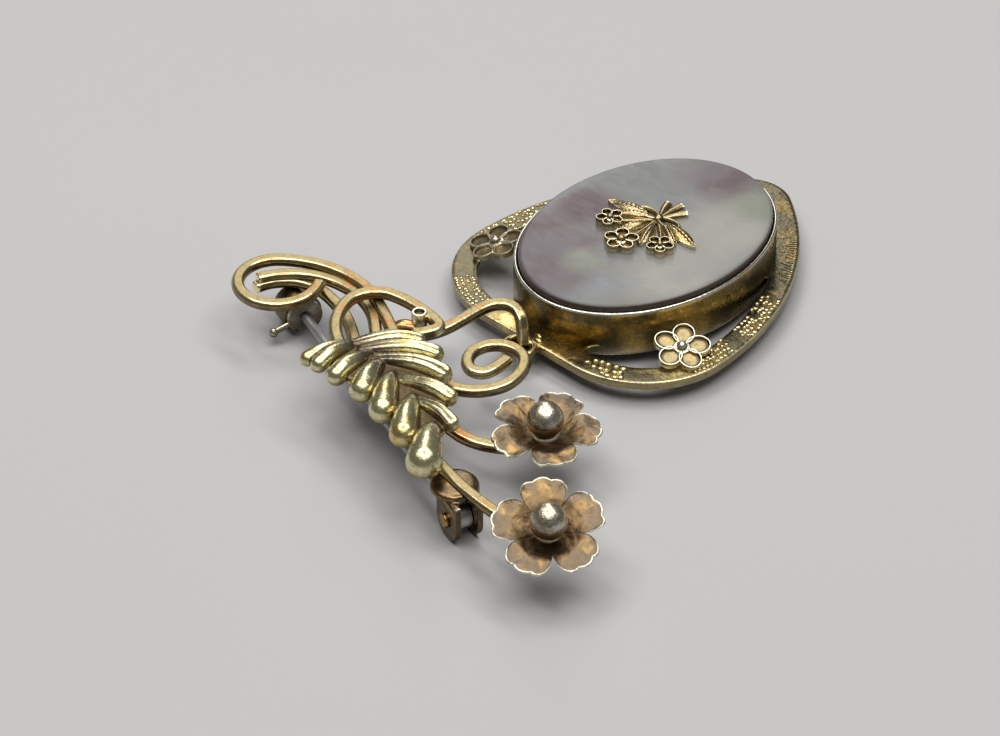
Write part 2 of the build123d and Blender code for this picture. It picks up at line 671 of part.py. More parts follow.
# Catch lever: a slotted sleeve in the housing, with a collar, an arm and a ball outside it
collar_start = CATCH_LENGTH / 2 + RUNNING_GAP + COLLAR_THICKNESS
lever_way = rivet_way * cos(radians(LEVER_DROP)) - UP * sin(radians(LEVER_DROP))
arm_start = (SLEEVE_BORE_RADIUS + COLLAR_RADIUS) / 2
arm_length = LEVER_REACH - arm_start
arm_point = catch_point - pin_way * (collar_start - COLLAR_THICKNESS / 2) + lever_way * arm_start
collar_location = catch_plane.offset(-collar_start).location
with BuildPart() as catch_lever:
    sleeve = slotted_ring(CATCH_BORE_RADIUS - SLEEVE_GAP, SLEEVE_BORE_RADIUS)
    extrude(sleeve.moved(collar_location), amount=collar_start + CATCH_LENGTH / 2)
    collar = slotted_ring(COLLAR_RADIUS, SLEEVE_BORE_RADIUS)
    extrude(collar.moved(collar_location), amount=COLLAR_THICKNESS)
    with Locations(Plane(arm_point, z_dir=lever_way)):
        Cylinder(LEVER_RADIUS, arm_length, align=(Align.CENTER, Align.CENTER, Align.MIN))
        with Locations((0, 0, arm_length)):
            Sphere(LEVER_BALL_RADIUS)
catch_lever.part.label = "catch_lever"
export_step(catch_lever.part, "parts/catch_lever.step")
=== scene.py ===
"""Dresses the solids of a locket brooch: bent brass wires, a leaf, two blossoms, a pin and a shell-faced locket.

Shapes are written in millimetres in the part's own frame and are scaled to metres when a mesh is made.
"""

from math import asin, atan2, ceil, copysign, cos, degrees, hypot, pi, radians, sin, sqrt

import bmesh
import bpy
import numpy as np
from bpy.props import FloatProperty, FloatVectorProperty, IntProperty, PointerProperty
from bpy.types import Operator, Panel, PropertyGroup
from mathutils import Matrix, Vector, noise
from mathutils.geometry import tessellate_polygon


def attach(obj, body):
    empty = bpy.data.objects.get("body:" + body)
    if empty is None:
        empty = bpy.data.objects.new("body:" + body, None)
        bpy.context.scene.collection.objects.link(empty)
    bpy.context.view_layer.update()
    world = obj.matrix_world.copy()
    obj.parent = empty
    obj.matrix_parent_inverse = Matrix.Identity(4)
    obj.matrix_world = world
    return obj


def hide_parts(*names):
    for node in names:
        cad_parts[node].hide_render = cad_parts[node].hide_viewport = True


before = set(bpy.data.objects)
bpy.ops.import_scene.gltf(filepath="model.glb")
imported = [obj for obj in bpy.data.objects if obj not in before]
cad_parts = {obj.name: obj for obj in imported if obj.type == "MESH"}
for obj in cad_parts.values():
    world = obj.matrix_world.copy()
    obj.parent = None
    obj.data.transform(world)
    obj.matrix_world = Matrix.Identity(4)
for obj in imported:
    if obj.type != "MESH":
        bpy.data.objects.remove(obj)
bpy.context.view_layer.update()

bl_info = {
    "name": "Locket brooch",
    "version": (1, 0, 0),
    "blender": (4, 5, 0),
    "location": "3D View > Sidebar > Brooch",
    "description": "Dresses the solids of a wire brooch with a shell-faced locket",
    "category": "Object",
}

MM = 0.001
UP = Vector((0, 0, 1))

# ---------------------------------------------------------------- sizes in millimetres, the main ones as in the part

LOCKET_LENGTH = 25.4
LOCKET_WIDTH = 19.05
CASE_BOTTOM = 1.3
CASE_TOP = 5.35
CASE_WALL = 0.6
LIP_WALL = 0.32
SEAT_Z = 4.25
SEAT_THICKNESS = 0.4
SEAT_REACH = 0.5
FIT_GAP = 0.06
SHELL_BOTTOM = SEAT_Z + FIT_GAP
SHELL_THICKNESS = 1.6
SHELL_EDGE = 0.35
SHELL_TOP = SHELL_BOTTOM + SHELL_THICKNESS

HEART_HALF_WIDTH = 13.7
HEART_TOP = 14.45
SHOULDER_RADIUS = 8.45
SIDE_RADIUS = 27.0
SIDE_TURN = 55.0
BAND_WIDTH = 2.1
BAND_Z = 1.4
BAND_THICKNESS = 0.8
BAND_TOP = BAND_Z + BAND_THICKNESS
GAP_TOP_X = 4.4
GAP_LOW_Y = -6.2

BADGE_PLACE = (10.7, 7.2, 3.15)
BADGE_LEAN_OUT = 12
BADGE_LEAN_UP = 9
BADGE_RADIUS = 2.4
BADGE_THICKNESS = 0.5
BADGE_EYE_RADIUS = 0.45

RING_RADIUS = 1.3
RING_WIRE_RADIUS = 0.36
RING_BITE = 0.45
RING_Y = HEART_TOP + RING_RADIUS - RING_BITE
RING_Z = BAND_Z + BAND_THICKNESS / 2

# Lumps of solder where the ring meets the band: place and size
SOLDER = [
    ((-0.2, 14.5, 2.0), 0.42),
    ((-0.85, 13.95, 2.15), 0.38),
    ((-0.45, 13.5, 2.2), 0.30),
    ((0.6, 14.35, 1.95), 0.30),
]

COVER_RISE = 1.24
COVER_WALL = 0.5
COVER_EDGE_INSET = 0.1
COVER_FLAT_SHARE = 0.68
COVER_MIDDLE_SHARE = 0.92
KNUCKLE_RADIUS = 0.5
KNUCKLE_LENGTH = 1.6
KNUCKLE_GAP = 0.1
KNUCKLE_BORE = 0.29
HINGE_X = LOCKET_WIDTH / 2 + 0.45
HINGE_Z = 0.9

# Clouds of the shell: place on its face, reach, colour. The pale silver ones are partly the shell's own lustre and
# partly painted sheen on one side of its face.
SHELL_CLOUDS = [
    ((-6.5, -4.5), 8.0, "shell_pale_sheen"),
    ((-6.5, 3.5), 6.0, "shell_pale_sheen"),
    ((4.8, -4.0), 7.0, "shell_grey"),
    ((0.8, -10.0), 4.8, "shell_pink"),
    ((4.6, 7.4), 7.0, "shell_pink"),
    ((1.2, 10.6), 4.5, "shell_pink"),
    ((6.0, 1.0), 4.0, "shell_pink"),
    ((0.9, 7.0), 2.6, "shell_green"),
    ((-4.6, -9.0), 3.2, "shell_green"),
]

# Ornament on the shell, with lengths as shares of its size
SPRAY_SIZE = 10.5
SPRAY_TIE = (0.0, -1.5)
SPRAY_Z = SHELL_TOP + FIT_GAP
# Stems and their tails: angle, length
SPRAY_STEMS = [
    (90, 0.44),
    (46, 0.38),
    (134, 0.38),
    (246, 0.25),
    (270, 0.28),
    (294, 0.25),
]
# Leaves: angle, start, length, width as a share of the length
SPRAY_LEAVES = [
    (8, 0.10, 0.38, 0.34),
    (172, 0.10, 0.38, 0.34),
    (68, 0.10, 0.29, 0.34),
    (112, 0.10, 0.29, 0.34),
    (24, 0.08, 0.30, 0.30),
    (156, 0.08, 0.30, 0.30),
]
# Small blossoms: angle, distance, radius
SPRAY_BLOSSOMS = [(90, 0.44, 0.145), (46, 0.39, 0.115), (134, 0.39, 0.115)]

WIRE_RADIUS = 0.525
WIRE_UNEVENNESS = 0.015
# Wires: height, start from the ring's middle, heading, straight lead up to the start, then arcs of a radius and a turn
HOOK_LINE = (4.75, (4.15, 7.55), -129.5, 0.5, [(4.0, 36), (46, 5.5), (1.75, -129)])
HOOK_BEND_RADIUS = 0.8
HOOK_TIP_Z = 1.2
WIRES = {
    "outer_stem": (4.9, (5.6, 9.0), -33, 17.0, [(31.5, 8.8), (9.4, 65.6), (3.2, 171.5), (3.5, 83), (7.2, 5.3)]),
    "middle_stem": (4.5, (8.2, 8.6), -40, 4.5, [(8.0, 47), (6.5, 62.5)]),
    "inner_stem": (3.95, (9.2, 10.2), -34.5, 3.5, [(13, 24.2), (6.9, 12.4), (3.9, 80.7)]),
    "crossing_loop": (5.8, (7.6, 13.4), -32, 1.5, [(7.1, -41), (2.7, -96), (11.4, -27), (0.7, -97), (11.8, -8)]),
    "round_scroll": (4.8, (-2.8, 10.6), -163, 4.0, [(3.95, 115), (2.3, 199), (1.1, 115), (9.6, 12)]),
    "first_stem": (4.1, (-6.0, 13.9), 171, 6.0, [(5.7, 48), (3.0, 24)]),
    "second_stem": (4.5, (-9.2, 18.2), 163, 3.0, [(26, 25)]),
}
PEG = (4.85, 6.75)
PEG_RADIUS = 0.65
PEG_BOTTOM = 4.4
PEG_TOP = 6.5
# Copper lump beside the peg: places along it, from the ring's middle, and their heights
LUMP = [((6.5, 8.4), 4.75), ((5.9, 7.6), 5.0), ((5.2, 7.2), 5.0), ((4.3, 6.9), 4.8)]
LUMP_RADIUS = 0.62
# Stretches that an eased path is cut into
EASED_STEPS = 120

LEAF_RIM_Z = 5.3
LEAF_RIDGE_Z = 6.2
LEAF_PLATE = 0.85
LEAF_POCKET = 0.5
LEAF_POCKET_SHARE = 0.6
LEAF_REACH = 5.0
LOBE_RADIUS = 1.15
LOBE_ROOT_RADIUS = 0.45
LOBE_TIP_Z = 6.05
# Midrib: start from the ring's middle, heading, radius, turn
MIDRIB = ((6.4, 13.15), 178, 31.3, -25.2)
# Lobes, the near ones fat drops and the far ones long and ridged: share of the midrib at which it starts, angle to
# the midrib, shares of LEAF_REACH and LOBE_RADIUS, sideways bow, height of the ridge
LOBES = [
    (0.02, -102, 0.82, 0.58, 0.06, 0.00),
    (0.03, -87, 0.77, 0.64, 0.08, 0.00),
    (0.17, -81, 0.75, 0.75, 0.10, 0.00),
    (0.28, -57, 0.75, 0.94, 0.10, 0.00),
    (0.41, -41, 0.94, 1.02, 0.10, 0.00),
    (0.66, -35, 0.96, 1.04, 0.08, 0.00),
    (0.95, -27, 0.93, 1.30, 0.00, 0.00),
    (0.03, 61, 0.86, 0.36, -0.14, 0.10),
    (0.04, 52, 1.05, 0.52, -0.26, 0.18),
    (0.11, 43, 1.20, 0.59, -0.34, 0.14),
    (0.23, 31, 1.19, 0.66, -0.34, 0.20),
    (0.48, 29, 0.95, 0.58, -0.24, 0.14),
    (0.71, 18, 0.81, 0.54, -0.14, 0.18),
]

BLOSSOM_RADIUS = 4.4
BLOSSOM_SHEET = 0.35
BLOSSOM_RIM = 0.09
BLOSSOM_FLAT = 1.0
BLOSSOM_CUP = 0.75
BLOSSOM_CUP_SHARE = 0.75
BEAD_RADIUS = 1.5
BEAD_SINK = 0.1
POST_RADIUS = 0.7
POST_LENGTH = 0.7
# Blossoms: place from the ring's middle, height, lean, turn about its own axis
BLOSSOM_PLACES = {
    "first": ((-11.75, 9.2), 4.05, 4.5, -5.5),
    "second": ((-21.0, 18.5), 4.85, 20.6, 25.0),
}
# Heading that the blossoms lean in
LEAN_HEADING = 134.0
# Scallops of a petal's edge, by angle from its middle and share of the radius: start, crown, end
PETAL_SCALLOPS = [
    ((-36, 0.56), (-33, 0.72), (-27, 0.88)),
    ((-27, 0.88), (-19, 0.98), (-10, 0.96)),
    ((-10, 0.96), (0, 1.02), (10, 0.96)),
    ((10, 0.96), (19, 0.98), (27, 0.88)),
    ((27, 0.88), (33, 0.72), (36, 0.56)),
]

RIVET = (-12.0, 19.1)
CATCH = (17.2, 8.9)
PIN_Z = 1.75
RIVET_BORE = 0.39
EAR_INSIDE = 0.71
EAR_THICKNESS = 0.5
# Disc of the pin's joint: radius, thickness, height, shift along the pin
JOINT_DISC = (2.1, 0.6, 3.95, 0.9)
# How much the disc's radius is drawn in for its domed edge
DISC_TRIM = 0.15
CATCH_BORE_RADIUS = 1.2
CATCH_LENGTH = 2.2
CATCH_SLOT = 1.2
# Foot of the catch: width, shift across the pin, height of its top
CATCH_FOOT = (1.4, 0.8, 3.9)


# ---------------------------------------------------------------- flat drawing

def at(radius, angle, start=(0.0, 0.0)):
    """Point at a radius and an angle in degrees from a start."""
    return (start[0] + radius * cos(radians(angle)), start[1] + radius * sin(radians(angle)))


def circle(count):
    """Angles in radians, even round a circle."""
    return [2 * pi * k / count for k in range(count)]


def from_ring(point):
    """Point that is given from the middle of the locket's ring, in the part's own frame."""
    return (point[0], point[1] + RING_Y)


def bent(start, heading, lead, bends, step=0.15):
    """Points along a flat bent wire: a straight lead up to the start, then arcs that each go on from the last."""
    count = max(2, ceil(lead / (2 * step)))
    points = [at(-lead * (1 - k / count), heading, start) for k in range(count + 1)]
    place = start
    for radius, turn in bends:
        side = copysign(90, turn)
        centre = at(radius, heading + side, place)
        count = max(4, ceil(abs(radians(turn)) * radius / step))
        points += [at(radius, heading - side + turn * k / count, centre) for k in range(1, count + 1)]
        place = points[-1]
        heading += turn
    return points, heading


def heart(inset=0.0, step=0.25):
    """Heart frame's edge, an inset inside its outline, counterclockwise from the middle of its top."""
    shoulder_x = HEART_HALF_WIDTH - SHOULDER_RADIUS
    side_end = at(SIDE_RADIUS, -SIDE_TURN, (HEART_HALF_WIDTH - SIDE_RADIUS, HEART_TOP - SHOULDER_RADIUS))
    tip_radius = side_end[0] / cos(radians(SIDE_TURN))
    bends = [
        (SHOULDER_RADIUS - inset, -90),
        (SIDE_RADIUS - inset, -SIDE_TURN),
        (tip_radius - inset, SIDE_TURN - 90),
    ]
    right, _ = bent((shoulder_x, HEART_TOP - inset), 0, shoulder_x, bends, step)
    left = [(-x, y) for x, y in right[1:-1]]
    return right[::-1] + left


def oval(inset=0.0, share=1.0, count=160):
    """Oval of the case, shrunk to a share of itself and then by an inset."""
    half_width = LOCKET_WIDTH / 2 * share - inset
    half_length = LOCKET_LENGTH / 2 * share - inset
    return [(half_width * cos(t), half_length * sin(t)) for t in circle(count)]


def neighbours(outline):
    """Each point of a closed outline between the ones before and after it."""
    return zip(outline[-1:] + outline[:-1], outline, outline[1:] + outline[:1])


def crescent(side):
    """Gap between the case and the band, on the side of +X or -X."""
    band = [(x, y) for x, y in heart(BAND_WIDTH) if x > GAP_TOP_X and y > GAP_LOW_Y]
    band.sort(key=lambda p: -atan2(p[1] - GAP_LOW_Y, p[0]))
    case = [(x, y) for x, y in oval(count=240) if x > GAP_TOP_X and y > GAP_LOW_Y]
    case.sort(key=lambda p: atan2(p[1], p[0]))
    loop = evened([(GAP_TOP_X, HEART_TOP - BAND_WIDTH), *band, *case], 0.2)
    for _ in range(10):
        loop = [((a[0] + 2 * b[0] + c[0]) / 4, (a[1] + 2 * b[1] + c[1]) / 4) for a, b, c in neighbours(loop)]
    return [(side * x, y) for x, y in loop]


def hull(points):
    """Outline stretched round some points, counterclockwise."""
    points = sorted(set(points))

    def half(row):
        """One side of the outline, along points in order."""
        chain = []
        for p in row:
            while len(chain) > 1:
                a, b = chain[-2], chain[-1]
                if (b[0] - a[0]) * (p[1] - a[1]) - (b[1] - a[1]) * (p[0] - a[0]) > 0:
                    break
                chain.pop()
            chain.append(p)
        return chain[:-1]

    return half(points) + half(points[::-1])


def evened(outline, step):
    """The same closed outline with its points about a step apart."""
    result = []
    for (x0, y0), (x1, y1) in zip(outline, outline[1:] + outline[:1]):
        count = max(1, round(hypot(x1 - x0, y1 - y0) / step))
        result += [(x0 + (x1 - x0) * k / count, y0 + (y1 - y0) * k / count) for k in range(count)]
    return result


def grown(outline, distance):
    """Closed outline moved outwards by a distance along its corners' bisectors."""
    area = sum(here[0] * after[1] - after[0] * here[1] for _, here, after in neighbours(outline)) / 2
    result = []
    for before, here, after in neighbours(outline):
        run = Vector((after[0] - before[0], after[1] - before[1]))
        out = Vector((run.y, -run.x)).normalized() * distance * copysign(1, area)
        result.append((here[0] + out.x, here[1] + out.y))
    return result


def arc_points(radius, first, last, count):
    """Points along an arc about the origin, between two angles in degrees."""
    return [at(radius, first + (last - first) * k / count) for k in range(count + 1)]


def rectangle(x0, x1, y0, y1, step):
    """Outline of a rectangle with its points about a step apart."""
    return evened([(x0, y0), (x1, y0), (x1, y1), (x0, y1)], step)


# ---------------------------------------------------------------- shapes, as points and faces

def merged(*shapes):
    """Several shapes as one."""
    points, faces = [], []
    for more_points, more_faces in shapes:
        first = len(points)
        points += list(more_points)
        faces += [[first + corner for corner in face] for face in more_faces]
    return points, faces


def moved(shape, matrix):
    """A shape carried to another place."""
    return [matrix @ Vector(p) for p in shape[0]], shape[1]


def skin(loops, closed=False):
    """Skin over loops of equally many points, closed round a ring or capped at both ends."""
    count = len(loops[0])
    points = [p for loop in loops for p in loop]
    rows = len(loops) if closed else len(loops) - 1
    faces = []
    for row in range(rows):
        here = row * count
        there = (row + 1) % len(loops) * count
        for k in range(count):
            n = (k + 1) % count
            faces.append([here + k, here + n, there + n, there + k])
    if not closed:
        faces.append(list(range(count))[::-1])
        last = (len(loops) - 1) * count
        faces.append([last + k for k in range(count)])
    return points, faces


def turned(profile, steps=48, closed=False):
    """Skin of a profile of radii and heights turned about Z."""
    return skin([[(r * cos(t), r * sin(t), z) for t in circle(steps)] for r, z in profile], closed)


def ball(radius, rows=20, steps=40):
    """Ball about the origin."""
    tilts = [pi * (k + 0.2) / (rows + 0.4) for k in range(rows + 1)]
    return turned([(radius * sin(t), -radius * cos(t)) for t in tilts], steps)


def round_section(radius, top=1.0, sides=28):
    """Section of a wire, flattened at a share of its radius on top."""
    angles = [360 * (k + 0.5) / sides for k in range(sides)]
    return [(radius * cos(radians(a)), radius * min(sin(radians(a)), top)) for a in angles]


def swept(path, section, scales=None, ends=0.0, closed=False):
    """Skin of a section carried along a path, with each end drawn in by a small rounding."""
    path = [Vector(p) for p in path]
    count = len(path)
    normal = Vector(UP)
    loops = []
    for k, place in enumerate(path):
        before = path[k - 1] if k or closed else path[0]
        after = path[(k + 1) % count] if k < count - 1 or closed else path[-1]
        way = (after - before).normalized()
        normal = (normal - way * way.dot(normal)).normalized()
        side = way.cross(normal)
        scale = scales[k] if scales else 1.0
        loops.append([place + (side * u + normal * v) * scale for u, v in section])
        if ends and not closed and k in (0, count - 1):
            out = place + (-way if k == 0 else way) * ends
            cap = [out + (side * u + normal * v) * (scale - ends / WIRE_RADIUS) for u, v in section]
            loops.insert(len(loops) if k else 0, cap)
    return skin(loops, closed)


def plate(outlines, bottom, top, round_over=0.08, land=0.25):
    """Flat plate with rounded edges, inside its first outline and outside the others."""
    levels = [
        (-land, bottom),
        (-round_over, bottom),
        (-0.3 * round_over, bottom + 0.3 * round_over),
        (0, bottom + round_over),
        (0, top - round_over),
        (-0.3 * round_over, top - 0.3 * round_over),
        (-round_over, top),
        (-land, top),
    ]
    points, faces, starts = [], [], []
    for number, outline in enumerate(outlines):
        sign = 1 if number == 0 else -1
        loops = [[(x, y, z) for x, y in grown(outline, sign * inset)] for inset, z in levels]
        wall_points, wall_faces = skin(loops)
        starts.append(len(points))
        faces += [[len(points) + corner for corner in face] for face in wall_faces[:-2]]
        points += wall_points
    for level, way in ((0, -1), (len(levels) - 1, 1)):
        firsts = [start + level * len(outline) for start, outline in zip(starts, outlines)]
        rims = [range(first, first + len(outline)) for first, outline in zip(firsts, outlines)]
        corners = [corner for rim in rims for corner in rim]
        flat = [[(*points[corner][:2], 0) for corner in rim] for rim in rims]
        faces += [[corners[c] for c in triangle][::way] for triangle in tessellate_polygon(flat)]
    return points, faces


def half_round(points, widths, base, heights):
    """A strip with a rounded top along flat points."""
    loops = []
    for k, (x, y) in enumerate(points):
        before = points[max(k - 1, 0)]
        after = points[min(k + 1, len(points) - 1)]
        run = Vector((after[0] - before[0], after[1] - before[1])).normalized()
        side = Vector((run.y, -run.x)) * widths[k]
        arch = [(u, base + 0.12 + heights[k] * v) for u, v in arc_points(1, 0, 180, 10)]
        loops.append([(x + side.x * u, y + side.y * u, z) for u, z in [(1, base), *arch, (-1, base)]])
    return skin(loops)


# ---------------------------------------------------------------- pieces

# Where pieces are at home: body, node and slot
BROOCH_METAL = ("brooch", "brooch_spray", "aged_brass")
CASE_METAL = ("brooch", "locket_case", "case_brass")


def read(parts, key, width, kind=np.float64):
    """One property of a mesh's points or edges, as rows of numbers."""
    values = np.empty(len(parts) * width, dtype=kind)
    parts.foreach_get(key, values)
    return values.reshape(-1, width)


def hollows(mesh, passes):
    """Keeps how hollow the surface is at each point: above zero in a crease, below zero on an edge."""
    mesh.update()
    count = len(mesh.vertices)
    points = read(mesh.vertices, "co", 3)
    normals = read(mesh.vertices, "normal", 3)
    a, b = read(mesh.edges, "vertices", 2, np.int64).T
    runs = points[b] - points[a]
    lengths = np.maximum(np.linalg.norm(runs, axis=1), 1e-9)
    runs /= lengths[:, None]
    total = np.zeros(count)
    shares = np.zeros(count)
    np.add.at(total, a, np.einsum("ij,ij->i", normals[a], runs))
    np.add.at(total, b, -np.einsum("ij,ij->i", normals[b], runs))
    np.add.at(shares, a, 1)
    np.add.at(shares, b, 1)
    value = total / np.maximum(shares, 1)
    for _ in range(passes):
        around = np.zeros(count)
        np.add.at(around, a, value[b])
        np.add.at(around, b, value[a])
        value = (value + around / np.maximum(shares, 1)) / 2
    layer = mesh.attributes.new("hollow", "FLOAT", "POINT")
    layer.data.foreach_set("value", value.astype(np.float32))


def linked(name, data):
    """A new object in the scene."""
    thing = bpy.data.objects.new(name, data)
    bpy.context.scene.collection.objects.link(thing)
    return thing


def mesh_of(name, shape, scale=1.0):
    """Mesh of a shape, with its faces turned outwards."""
    mesh = bpy.data.meshes.new(name)
    mesh.from_pydata([tuple(scale * c for c in p) for p in shape[0]], [], shape[1])
    knit = bmesh.new()
    knit.from_mesh(mesh)
    bmesh.ops.recalc_face_normals(knit, faces=knit.faces)
    knit.to_mesh(mesh)
    knit.free()
    return mesh


def dressed(name, mesh, finish, body, node, slot, sharp=38.0, passes=1):
    """Gives a mesh its smooth shading and finish, and makes it stand for a solid and move with its body."""
    mesh.shade_smooth()
    mesh.set_sharp_from_angle(angle=radians(sharp))
    hollows(mesh, passes)
    mesh.materials.append(finish_named(finish))
    thing = linked(name, mesh)
    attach(thing, body)
    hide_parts(node)


def piece(name, shape, finish, home, **shading):
    """Makes a piece of a shape in millimetres, at home in a body and node; the slot of its home is not used."""
    dressed(name, mesh_of(name, shape, MM), finish, *home, **shading)


def applied(mesh, *modifiers):
    """Mesh after some modifiers, each given as its type and its settings."""
    helper = linked("helper", mesh)
    for kind, settings in modifiers:
        modifier = helper.modifiers.new(kind, kind)
        for key, value in settings.items():
            setattr(modifier, key, value)
    sight = bpy.context.evaluated_depsgraph_get()
    result = bpy.data.meshes.new_from_object(helper.evaluated_get(sight))
    bpy.data.objects.remove(helper)
    return result


# ---------------------------------------------------------------- finishes

class Finish:
    """Nodes of one material."""

    def __init__(self, name):
        """Starts the material."""
        self.material = bpy.data.materials.new(name)
        self.material.use_nodes = True
        self.nodes = self.material.node_tree.nodes
        self.links = self.material.node_tree.links
        self.place = self.node("TexCoord", {})

    def joined(self, values, inputs):
        """Sets inputs to plain values, or links other sockets to them."""
        for key, value in values.items():
            if isinstance(value, bpy.types.NodeSocket):
                self.links.new(value, inputs[key])
            else:
                inputs[key].default_value = value

    def node(self, kind, values, **settings):
        """The outputs of a new node of a kind."""
        node = self.nodes.new("ShaderNode" + kind)
        for key, value in settings.items():
            setattr(node, key, value)
        self.joined(values, node.inputs)
        return node.outputs

    def shown(self, values):
        """Gives the surface its looks."""
        self.joined(values, self.nodes["Principled BSDF"].inputs)

    def speckle(self, size, detail=3.0, twist=0.0, rough=0.5, stretch=(1, 1, 1)):
        """Noise with features of about a size in millimetres."""
        place = self.node("Mapping", {"Scale": stretch, "Vector": self.place["Object"]})["Vector"]
        values = {"Scale": 1 / (size * MM), "Detail": detail, "Roughness": rough, "Distortion": twist, "Vector": place}
        return self.node("TexNoise", values)["Fac"]

    def layer(self, name):
        """A value kept at each point of the mesh."""
        return self.node("Attribute", {}, attribute_name=name)["Fac"]

    def upward(self, output):
        """Upward part of a place or a normal in the piece's own frame."""
        return self.node("SeparateXYZ", {"Vector": self.place[output]})["Z"]

    def near(self, place, reach):
        """One at a place given in millimetres, falling to zero at a reach from it."""
        gap = self.node("VectorMath", {0: self.place["Object"], 1: [c * MM for c in place]}, operation="DISTANCE")
        return self.span(gap["Value"], reach * MM, 0.25 * reach * MM)

    def span(self, value, low, high, out_low=0.0, out_high=1.0):
        """A value smoothly brought from one span to another."""
        values = {"Value": value, "From Min": low, "From Max": high, "To Min": out_low, "To Max": out_high}
        return self.node("MapRange", values, interpolation_type="SMOOTHSTEP")["Result"]

    def put_together(self, kind, first, second):
        """Two values multiplied, or the larger of them, kept between zero and one."""
        return self.node("Math", {0: first, 1: second}, operation=kind, use_clamp=True)["Value"]

    def blend(self, share, *colours):
        """Colour between two colours."""
        first, second = [c if isinstance(c, bpy.types.NodeSocket) else (*c[:3], 1.0) for c in colours]
        return self.node("Mix", {"Factor": share, 6: first, 7: second}, data_type="RGBA")[2]

    def raised(self, height, depth, **before):
        """Normal of a surface with fine relief of a depth in millimetres, over any relief before it."""
        return self.node("Bump", {"Distance": depth * MM, "Strength": 1.0, "Height": height, **before})["Normal"]


# What a metal has unless its row says otherwise. Sizes and heights are in millimetres. Spans of hollowness, such as
# crease and edge, are where tarnishing or polish begins and where it is full; the polish on edges is partly a painted
# highlight. Under and sides set how strongly downward faces and steep sides are darkened as painted shade.
USUAL_METAL = {
    "patch_size": 2.2,
    "patch_low": 0.5,
    "patch_high": 0.68,
    "stretch": (1, 1, 1),
    "rough": 0.24,
    "dull": 0.48,
    "crease": (0.02, 0.22),
    "edge": (-0.06, -0.32),
    "under": 0.85,
    "sides": 0.0,
    "low": None,
    "haze": None,
    "spots": (),
    "coat": 0.0,
    "flat": 0.0,
    "grain": 0.012,
    "grain_size": 0.28,
}


def old_metal(name, polish_and_highlight_colour, body, patch, tarnish_and_shade_colour, **given):
    """Worn metal: rubbed bright on its edges, partly as painted highlight; tarnished in its creases; painted shade
    underneath and on steep sides; patches of another colour.
    """
    asked = {**USUAL_METAL, **given}
    make = Finish(name)
    cloud = make.speckle(asked["patch_size"], 4.0, 0.4, 0.5, asked["stretch"])
    fine = make.speckle(0.35, 5.0, 0.0, 0.65)
    hollow = make.layer("hollow")
    crease = make.span(hollow, *asked["crease"])
    edge = make.span(hollow, *asked["edge"])
    facing = make.upward("Normal")
    # Painted shade: faces turned downward and steep sides are darkened towards the dark tarnished colour.
    under = make.span(facing, 0.15, -0.55, 0.0, asked["under"])
    side = make.span(facing, 0.62, 0.05, 0.0, asked["sides"])

    # Real tarnishing in creases and low hollows, together with painted shade underneath.
    tarnish_and_shade_mask = make.put_together("MAXIMUM", crease, under)
    if asked["low"]:
        high, low = asked["low"]
        sunk = make.span(make.upward("Object"), high * MM, low * MM)
        tarnish_and_shade_mask = make.put_together("MAXIMUM", tarnish_and_shade_mask, make.put_together("MULTIPLY", sunk, make.span(facing, 0.4, 0.85)))
    tarnish_and_shade_mask = make.put_together("MULTIPLY", tarnish_and_shade_mask, make.span(fine, 0.2, 0.55, 0.6, 1.0))

    colour = make.blend(make.span(cloud, asked["patch_low"], asked["patch_high"]), body, patch)
    if asked["haze"]:
        veil = make.speckle(asked["patch_size"] * 1.3, 3.0, 0.8)
        colour = make.blend(make.span(veil, 0.46, 0.64, 0.0, 0.75), colour, asked["haze"])
    for place, reach, tone in asked["spots"]:
        share = make.put_together("MULTIPLY", make.near(place, reach), make.span(cloud, 0.3, 0.5, 0.35, 1.0))
        colour = make.blend(share, colour, tone)
    colour = make.blend(make.span(fine, 0.42, 0.75, 0.0, 0.5), colour, tarnish_and_shade_colour)
    # Painted shade on steep sides, broken up by the patch clouds.
    share = make.put_together("MULTIPLY", side, make.span(cloud, 0.35, 0.6, 1.0, 0.45))
    colour = make.blend(share, colour, tarnish_and_shade_colour)
    colour = make.blend(tarnish_and_shade_mask, colour, tarnish_and_shade_colour)
    # Worn bright edges, which also serve as a painted highlight along edges and ridges.
    share = make.put_together("MULTIPLY", edge, make.span(fine, 0.35, 0.5, 0.55, 1.0))
    colour = make.blend(share, colour, polish_and_highlight_colour)

    dulled = make.put_together("MAXIMUM", tarnish_and_shade_mask, make.span(fine, 0.5, 0.75, 0.0, 0.6))
    dulled = make.put_together("MAXIMUM", dulled, make.span(facing, 0.93, 0.99, 0.0, asked["flat"]))
    if asked["coat"]:
        coat = make.span(dulled, 0.5, 0.0, 0.0, asked["coat"])
        make.shown({"Coat Weight": coat, "Coat Roughness": 0.07, "Coat IOR": 2.0})
    waves = make.raised(make.speckle(1.6, 2.0), asked["grain"] * 3)
    grains = make.speckle(asked["grain_size"], 4.0, 0.0, 0.6)
    make.shown({
        "Base Color": colour,
        "Metallic": 1.0,
        "Roughness": make.span(dulled, 0.0, 1.0, asked["rough"], asked["dull"]),
        "Normal": make.raised(grains, asked["grain"], Normal=waves),
    })
    return make.material


